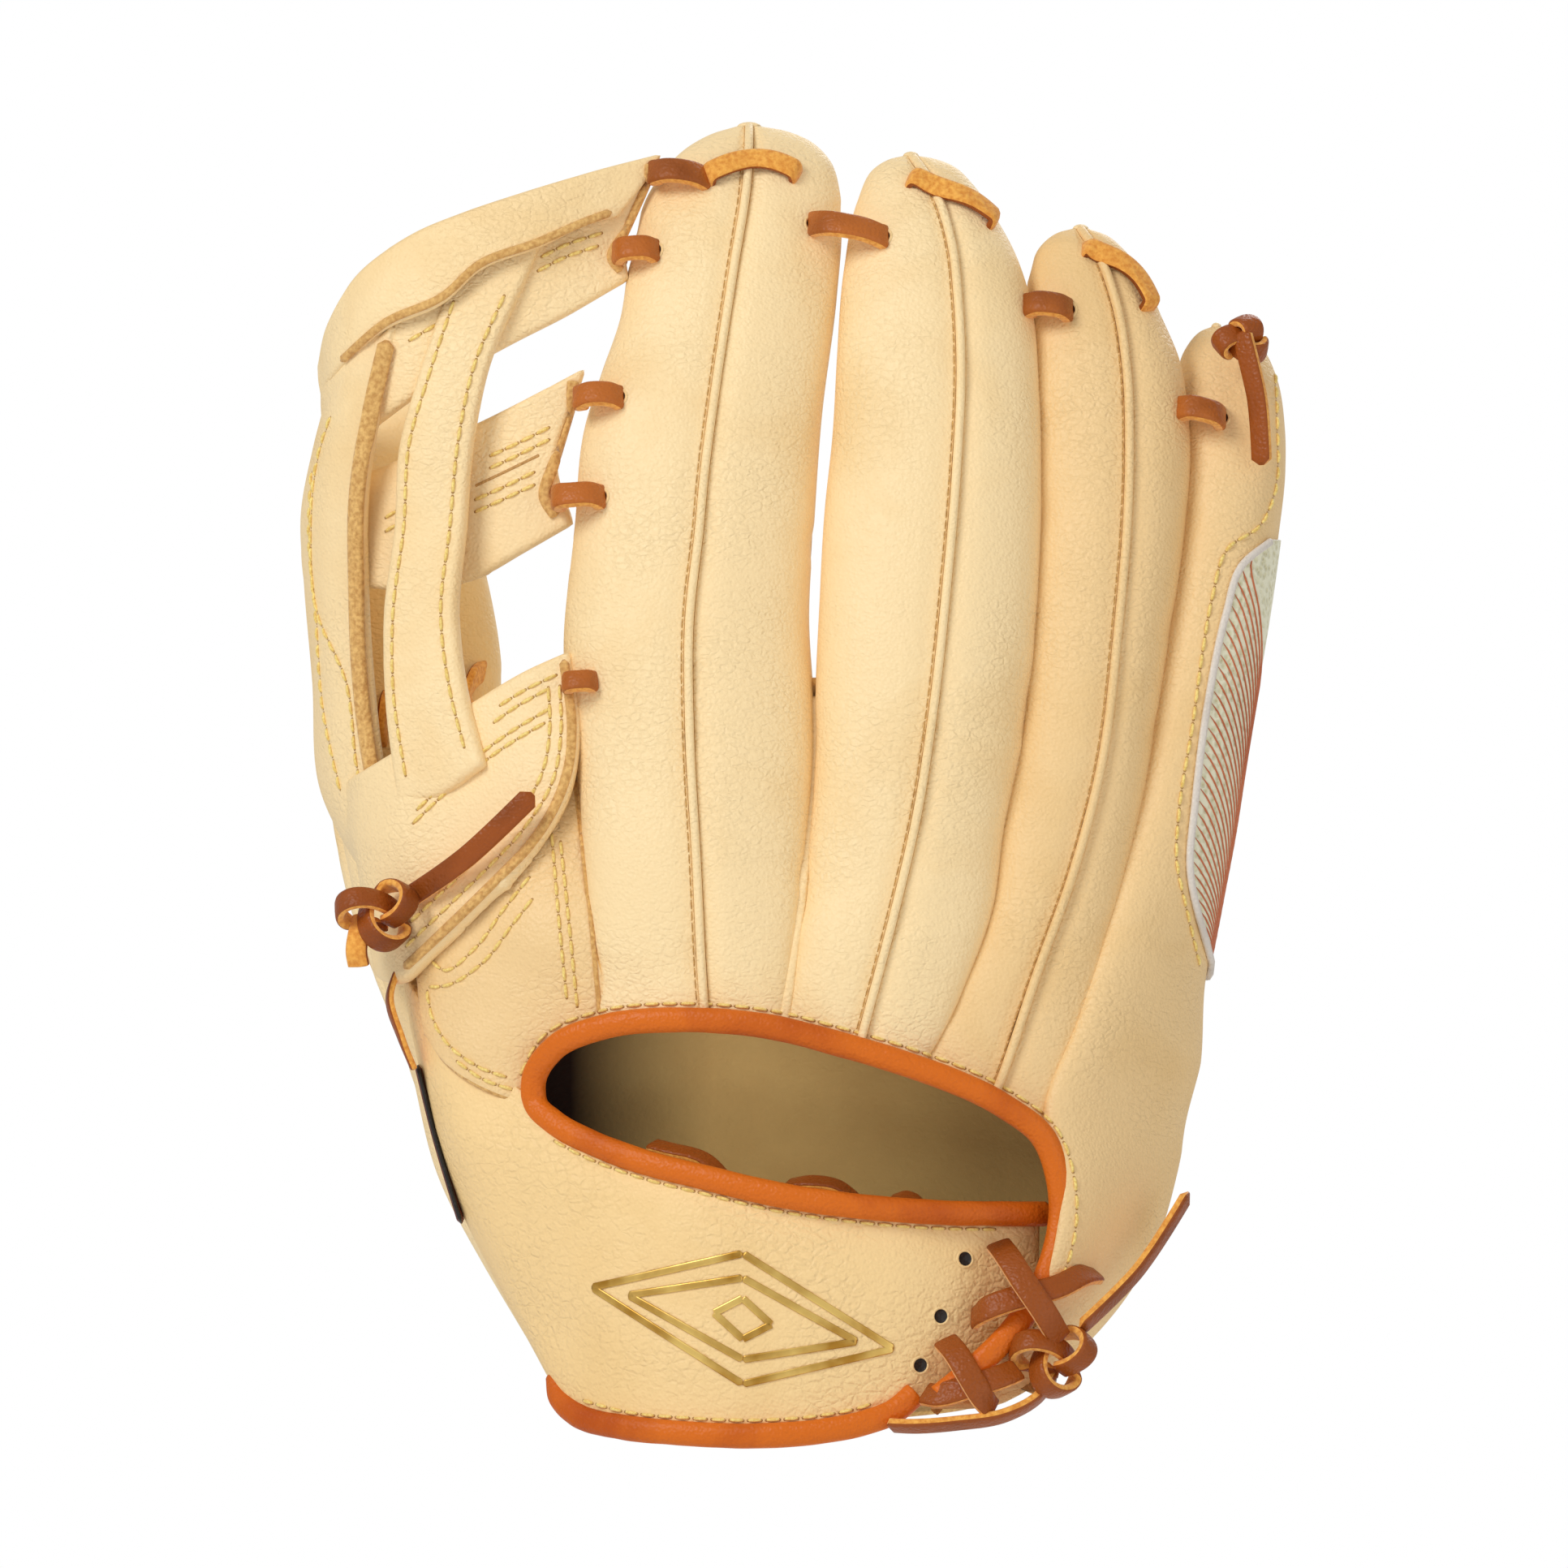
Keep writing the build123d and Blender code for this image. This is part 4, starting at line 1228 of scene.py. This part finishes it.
sewn("Web_Middle_Bar_Stitches", [
    [(-60, 250.6), (-68, 246.6), (-78, 242)],
    [(-60, 247.6), (-68, 243.6), (-78, 239)],
    [(-79, 232.4), (-71, 236), (-62, 240.4)],
    [(-79, 229.4), (-71, 233), (-62.4, 237)],
    [(-98, 230), (-104, 226.4)],
    [(-98, 226.6), (-104, 223)],
], [MIDDLE_BAR], WEB_FOLD, 60)
sewn("Web_Top_Bar_Stitches", [
    [(-47, 298.6), (-56, 295.6), (-64, 291.6)],
    [(-48, 295.4), (-57, 292.2), (-65, 288)],
    [(-88, 276), (-98, 270)],
], [TOP_BAR], WEB_FOLD, 60)
sewn("Web_Inner_Post_Stitches", [
    [(-95.6, 164), (-98.6, 184), (-98.8, 205), (-96.2, 225.6), (-94.8, 246.6), (-90, 263.2),
     (-83.4, 283)],
    [(-81, 171), (-84.4, 184), (-87, 205), (-84.8, 225.6), (-82.6, 248), (-79, 265), (-70, 286)],
], [INNER_POST], "hand", 120)
sewn("Web_Outer_Post_Stitches", [
    [(-103.6, 150), (-107.6, 164.6), (-110.8, 188), (-118, 205), (-119.6, 224), (-117.6, 244),
     (-113.6, 256)],
    [(-119.4, 240), (-120, 224), (-118.4, 205), (-116.4, 180), (-112, 160)],
], [OUTER_POST], "thumb", 90)
sewn("Thumb_Panel_Stitches", [
    [(-57.4, 148.6), (-55.2, 128), (-53, 106)],
    [(-59.6, 150.6), (-57.6, 128), (-55.4, 106)],
    [(-89.4, 119), (-86.4, 116.6), (-78.8, 121.6), (-71.4, 131.4), (-63, 142)],
    [(-90, 112.4), (-86.4, 112.6), (-77, 118), (-69, 128), (-62, 137)],
    [(-90.4, 111.8), (-88.6, 104), (-85.6, 99), (-77.8, 93), (-66.8, 89.2)],
    [(-83.2, 94.4), (-76.8, 90), (-67, 86.6)],
], ["Thumb_Back_Panel"], PANEL_FOLD, 60)

# The palm side, which the hand opening's side hides: its seams, from behind.
BEHIND = (0, -1, 0)
sewn("Palm_Stitches", [
    [(17.6, 8), (17.6, 34), (17.6, 64), (17.6, 98), (21.6, 142), (23.4, 160)],
    [(14, 9), (-8, 9), (-34, 12), (-52, 16)],
    [(-62, 26), (-72, 54)],
], ["Palm_Leather"], PALM_FOLD, 150, BEHIND)
sewn("Outer_Palm_Stitches", [
    [(22.6, 8), (22.6, 34), (22.6, 64), (22.6, 98), (26.6, 142), (28.4, 160)],
    [(26, 9.4), (48, 13), (62, 22), (76, 44), (82, 66), (84, 98), (87, 142), (90, 158)],
], ["Outer_Palm_Leather"], OUTER_PALM_FOLD, 150, BEHIND)
sewn("Thumb_Stitches", [
    [(-64, 60), (-62.6, 96), (-70.6, 130), (-76, 170), (-78.4, 200), (-84, 232), (-92, 252)],
], ["Thumb_Back"], "thumb", 150, BEHIND)

# ---------------------------------------------------------------- the strap's holes and foil
HOLE_RADIUS = 1.8
HOLE_SIDES = 20
HOLE_RINGS = [(1.35, 0.02), (1.2, 0.3), (1.0, 0.22), (0.96, 0.06)]  # radii, heights in mm


def punched(name, centres, names, body):
    """Punched holes: a pressed rim round a dark disc, painted shade for the inside of the hole."""
    points, faces, kinds = [], [], []
    turn = np.linspace(0, 2 * math.pi, HOLE_SIDES, endpoint=False)
    for centre in centres:
        spot, facing = laid([centre], names)
        side = np.cross(facing[0], [0, 0, 1.0])
        side /= np.linalg.norm(side)
        other = np.cross(facing[0], side)
        circle = np.cos(turn)[:, None] * side + np.sin(turn)[:, None] * other
        base = sum(len(p) for p in points)
        points += [spot[0] + circle * HOLE_RADIUS * r + facing[0] * lift for r, lift in HOLE_RINGS]
        some = quads(len(HOLE_RINGS), HOLE_SIDES, base, around=True).tolist()
        last = base + (len(HOLE_RINGS) - 1) * HOLE_SIDES
        faces += some + [list(range(last, last + HOLE_SIDES))]
        kinds += [0] * len(some) + [1]
    # The dark disc is painted shade where the hole goes down into the leather.
    piece = add_object(name, np.concatenate(points), faces, [CREAM_SOFT, DARK], kinds)
    attach(piece, body, "cream_leather")


punched("Strap_Eyelets", [(42, 46), (36, 32), (31, 20)], ["Wrist_Strap"], "hand")


# A plain gold-foil ornament: a long lozenge inside another, with a small diamond in the middle.
FOIL_BAND = rounded(1.9, 0.3, 4, 8)
FOIL_LIFT = 0.22
FOIL_MIDDLE = (-12.5, 31.5)
SLOPE = -0.2


def foil_shape(name, half_width, half_height):
    corners = [(-half_width, 0), (0, half_height), (half_width, 0), (0, -half_height)]
    spots = [(FOIL_MIDDLE[0] + x, FOIL_MIDDLE[1] + x * SLOPE + z) for x, z in corners]
    for k in range(4):
        side = [spots[k], spots[(k + 1) % 4]]
        strip(f"{name}_{k + 1}", side, ["Wrist_Strap"], "hand", "cream_leather", FOIL_BAND, [FOIL],
              FOIL_LIFT)


foil_shape("Foil_Lozenge", 37, 16)
foil_shape("Foil_Inner_Lozenge", 28, 10)
foil_shape("Foil_Diamond", 7, 5)

# ---------------------------------------------------------------- laces
LACE_WIDTH = 5.4
LACE = rounded(LACE_WIDTH, 2.4, 4, 16)
TIP_LACE = rounded(LACE_WIDTH, 2.2, 3.4, 16)
WRIST_LACE = rounded(6.3, 2.5, 4, 16)
KNOT_LACE = rounded(5.8, 2.3, 4, 14)
LACE_MATS = [LACE_GRAIN, LACE_SUEDE]
FRONTS = BACKS + WEB + ["Thumb_Back_Panel", "Wrist_Strap"]


def lace(name, points, face, body, *nodes, suede_up=False, section=LACE):
    piece = swept(name, smooth(points, 40), face, section, LACE_MATS, suede_up)
    attach(piece, body, "lace", *nodes)


def loops(prefix, runs, face, body, *nodes, section=LACE):
    """Runs of one lace; the first stands for the CAD nodes."""
    for i, run in enumerate(runs):
        lace(f"{prefix}_{i + 1}", run, face, body, *(() if i else nodes), section=section)


def hoop(name, left, right, body, *nodes, width=6.4, arch=0.8):
    """A short run of lace out of one hole and into the next, keeping its width upright."""
    (x0, z0), (x1, z1) = left, right
    spots, _ = laid([left, right], FRONTS)
    y0, y1 = spots[0][1], spots[-1][1]
    ahead, x_in, z_in = min(y0, y1) - 2.8, (x1 - x0) * 0.24, (z1 - z0) * 0.24
    line = smooth([
        (x0 + 0.9, y0 + 4, z0), (x0 + 0.3, y0 - 0.5, z0), (x0 + x_in, ahead, z0 + z_in + arch),
        (x1 - x_in, ahead, z1 - z_in + arch), (x1 - 0.3, y1 - 0.5, z1), (x1 - 0.9, y1 + 4, z1),
    ], 44)
    face = np.cross(np.gradient(line, axis=0), (0, 0.7, 1.0))
    piece = swept(name, line, face, rounded(width, 3.3, 4, 16), [HOOP_GRAIN, LACE_SUEDE])
    attach(piece, body, "lace", *nodes)


WEB_HOOPS = [
    ((-34.6, 313.4), (-22, 312)), ((-43.6, 293.6), (-34.4, 294)), ((-53, 257.6), (-43.2, 257.6)),
    ((-58, 232.6), (-47.6, 233)),
]
for k, (left, right) in enumerate(WEB_HOOPS):
    hoop(f"Web_Index_Lace_{k + 1}", left, right, "hand", *(() if k else ["web_index_laces"]))
hoop("Web_Index_Lace_5", (-55.8, 187.2), (-49.4, 187.6), "hand", width=LACE_WIDTH, arch=0.3)
hoop("Finger_Lace", (4.8, 300.6), (22, 297.4), "hand", "finger_lace")
RING_GAP = ("hand", "outer_fingers", (56, 6, 280), (68, 6, 280))
hoop("Ring_Middle_Lace", (57.6, 280.4), (67.6, 279.4), RING_GAP)
hoop("Outer_Lace", (95.6, 255), (105.4, 252.8), "outer_fingers", "outer_finger_lace")
# Dark discs at the lace holes: painted shade.
punched("Finger_Lace_Holes", [
    (-22.1, 312), (-34.2, 294), (-43, 257.6), (-47.4, 233), (4.7, 300.6), (22.1, 297.4),
], BACKS, "hand")
punched("Outer_Finger_Lace_Holes", [(67.7, 279.4), (105.5, 252.8)], BACKS, "outer_fingers")
loops("Web_Thumb_Lace", [
    [(-113, 56, 238), (-116.4, 60, 238), (-116.4, 68, 238), (-113, 72, 237)],
    [(-114, 58, 212), (-117.6, 62, 212), (-117.4, 70, 213), (-115, 74, 213)],
    [(-113, 56, 186), (-116.4, 60, 186), (-116.4, 68, 187), (-113, 72, 187)],
    [(-112, 54, 162), (-115.4, 58, 162), (-115.4, 66, 163), (-110, 70, 163)],
    [(-77, 60, 191), (-80, 53, 188), (-81.5, 51, 184), (-80, 54, 180), (-78, 60, 177)],
    [(-101, 55, 184), (-102, 50, 181), (-102.5, 50, 176), (-101, 55, 172)],
], (-1, 0.1, 0), "thumb", "web_thumb_laces")
TIP_LACES = {
    "Index": ([(-21.6, 311.8), (-16, 314.8), (-10.5, 316), (-4, 315.2), (1, 312.6)], "hand"),
    "Middle": ([(28.4, 311.8), (36.4, 308.8), (44, 305.2), (49.4, 300.4)], "hand"),
    "Ring": ([(71.6, 294.6), (78.6, 291.8), (84.4, 286.4), (87.6, 279.6)], "outer_fingers"),
}
for finger_name, (points, lace_body) in TIP_LACES.items():
    strip(
        f"{finger_name}_Tip_Lace", points, BACKS, lace_body, "lace", TIP_LACE, LACE_MATS, 2.3, 4.6, 50,
        suede_up=True, nodes=[f"{finger_name.lower()}_tip_lace"], calm=60,
    )
# Ends of the strap's lace, seen inside the hand opening, brown grain side up: painted shade for suede
# ends in shadow.
loops("Inner_Lace", [
    [(-35, -20, 73.6), (-31, -23, 72.6), (-22, -25, 70), (-17, -26, 65)],
    [(-1.6, -26, 63.8), (3, -29, 64.6), (11, -29, 63.4), (15.4, -28, 60)],
    [(24, -25, 60), (27, -27, 60.8), (30, -27, 60), (33, -25, 58)],
], (0, -0.5, 1), "hand")


def knot(name, centre, size, turn, body, node):
    """A tight closed knot of flat lace, a trefoil."""
    t = np.linspace(0, 2 * math.pi, 110)
    across = np.sin(t) + 2 * np.sin(2 * t)
    up = np.cos(t) - 2 * np.cos(2 * t)
    c, s = math.cos(turn), math.sin(turn)
    shape = [(across * c - up * s), -1.2 * np.sin(3 * t), 0.8 * (across * s + up * c)]
    line = np.array(centre) + size * np.stack(shape, axis=1)
    outward = line - np.array(centre) + np.array([0, -2.5, 0])
    attach(swept(name, line, outward, KNOT_LACE, LACE_MATS), body, "lace", node)


knot("Web_Knot", (-102, -8, 130.6), 3.3, 0.4, "thumb", "web_knot")
knot("Little_Finger_Knot", (110.6, 8, 272), 2.0, 1.0, "outer_fingers", "pinky_knot")
knot("Wrist_Knot", (63.6, -38, 21.6), 3.4, 0.2, "hand", "wrist_knot")
SHORT_TAIL = [(-106, -4, 130), (-107, -8, 126), (-107.6, -9, 121), (-107, -8, 117.4)]
lace("Web_Short_Tail", SHORT_TAIL, (-0.4, -1, 0), "thumb", suede_up=True)

# Loose lace ends at their real lengths: route, the way the brown side faces, body.
LOOSE_ENDS = {
    "Web_Lace_Tail": (
        [(-95.4, -4, 134), (-86, -12, 140), (-76, -18, 148), (-64, -21, 160)],
        (0.2, -1, 0.3), "thumb",
    ),
    "Pinky_Lace_Tail": (
        [(110.4, 5, 274), (113, 3.5, 264), (115, 3, 254), (115.4, 2.5, 241)],
        (-0.7, -1, 0.2), "outer_fingers",
    ),
    "Wrist_Lace_Tail": (
        [(70, -38, 29), (79, -34, 37), (88, -27, 47), (97, -21, 62)],
        (0.8, -0.4, -0.5), "hand",
    ),
}


def route_line(points):
    """The smooth line that a NURBS spline makes of a route."""
    curve = bpy.data.curves.new("route", "CURVE")
    curve.dimensions = "3D"
    spline = curve.splines.new("NURBS")
    spline.points.add(len(points) - 1)
    for target, point in zip(spline.points, points):
        target.co = (*metres(point), 1)
    spline.order_u = 3
    spline.use_endpoint_u = True
    spline.resolution_u = 12
    holder = bpy.data.objects.new("route", curve)
    mesh = bpy.data.meshes.new_from_object(holder)
    line = np.array([v.co for v in mesh.vertices])
    bpy.data.meshes.remove(mesh)
    bpy.data.objects.remove(holder)
    bpy.data.curves.remove(curve)
    return line


for tail_name, (route, tail_face, tail_body) in LOOSE_ENDS.items():
    line = route_line(route)
    loose = swept(tail_name, line / MM, tail_face, LACE, LACE_MATS)
    attach(loose, tail_body, "lace", tail_name.lower())

loops("Wrist_Lace", [
    [(50, -30, 49.6), (52.4, -37, 46.6), (56, -41.6, 41), (62, -42.6, 32), (65.4, -39, 26)],
    [(44, -33, 31), (47.4, -39, 34), (56, -39.4, 37), (64, -38, 39), (71, -31, 42), (74, -24, 42)],
    [(37, -35, 26), (40, -41, 22.6), (43, -44, 17.6), (46, -44, 12.6), (48.6, -40, 9)],
    [(32, -38, 13), (35, -41, 12.8), (43, -42.4, 15), (51, -41, 17.4), (55, -38, 19)],
], (0, -1, 0.5), "hand", "wrist_lace", section=WRIST_LACE)
loops("Heel_Lace", [
    [(23, -39, 5.4), (28, -41, 5.2), (40, -42, 6), (52, -41, 8), (60, -38, 12.4), (64, -35, 18)],
], (0, -0.5, -1), "hand", "heel_lace")
# A lace seen edge-on and a plain sewn patch on the thumb's heel.
SIDE_LACE = [(-98, 4, 116), (-99.6, 2, 110), (-96.8, 1, 100), (-93.6, 3, 92)]
lace("Thumb_Side_Lace", SIDE_LACE, (-1, -0.15, 0), "thumb", section=rounded(5, 1.8, 4, 12))
PATCH_LINE = smooth([(-92.8, 12, 93), (-88.6, 12, 76), (-82, 10, 54)], 40)
PATCH_LAYERS = {"Patch_Border": (13, 1.2, DARK), "Patch_Face": (10, 1.8, MAROON)}
for patch_name, (width, thick, material) in PATCH_LAYERS.items():
    piece = swept(patch_name, PATCH_LINE, (-1, 0.0, -0.3), rounded(width, thick, 5, 16), [material])
    attach(piece, PANEL_FOLD, "binding")

# ---------------------------------------------------------------- floor
FLOOR = -0.26  # metres
FLOOR_HALF = 2.2


def make_floor():
    mesh = bpy.data.meshes.new("Floor")
    signs = [(-1, -1), (1, -1), (1, 1), (-1, 1)]
    corners = [(x * FLOOR_HALF, y * FLOOR_HALF, FLOOR) for x, y in signs]
    mesh.from_pydata(corners, [], [(0, 1, 2, 3)])
    n = Nodes("Studio_Floor", 0.9)
    tone = n.noise(3, 2)
    mesh.materials.append(n.finish(n.mixed(tone, (0.86, 0.86, 0.86, 1), (0.9, 0.9, 0.9, 1))))
    floor = bpy.data.objects.new("Floor", mesh)
    scene.collection.objects.link(floor)


make_floor()
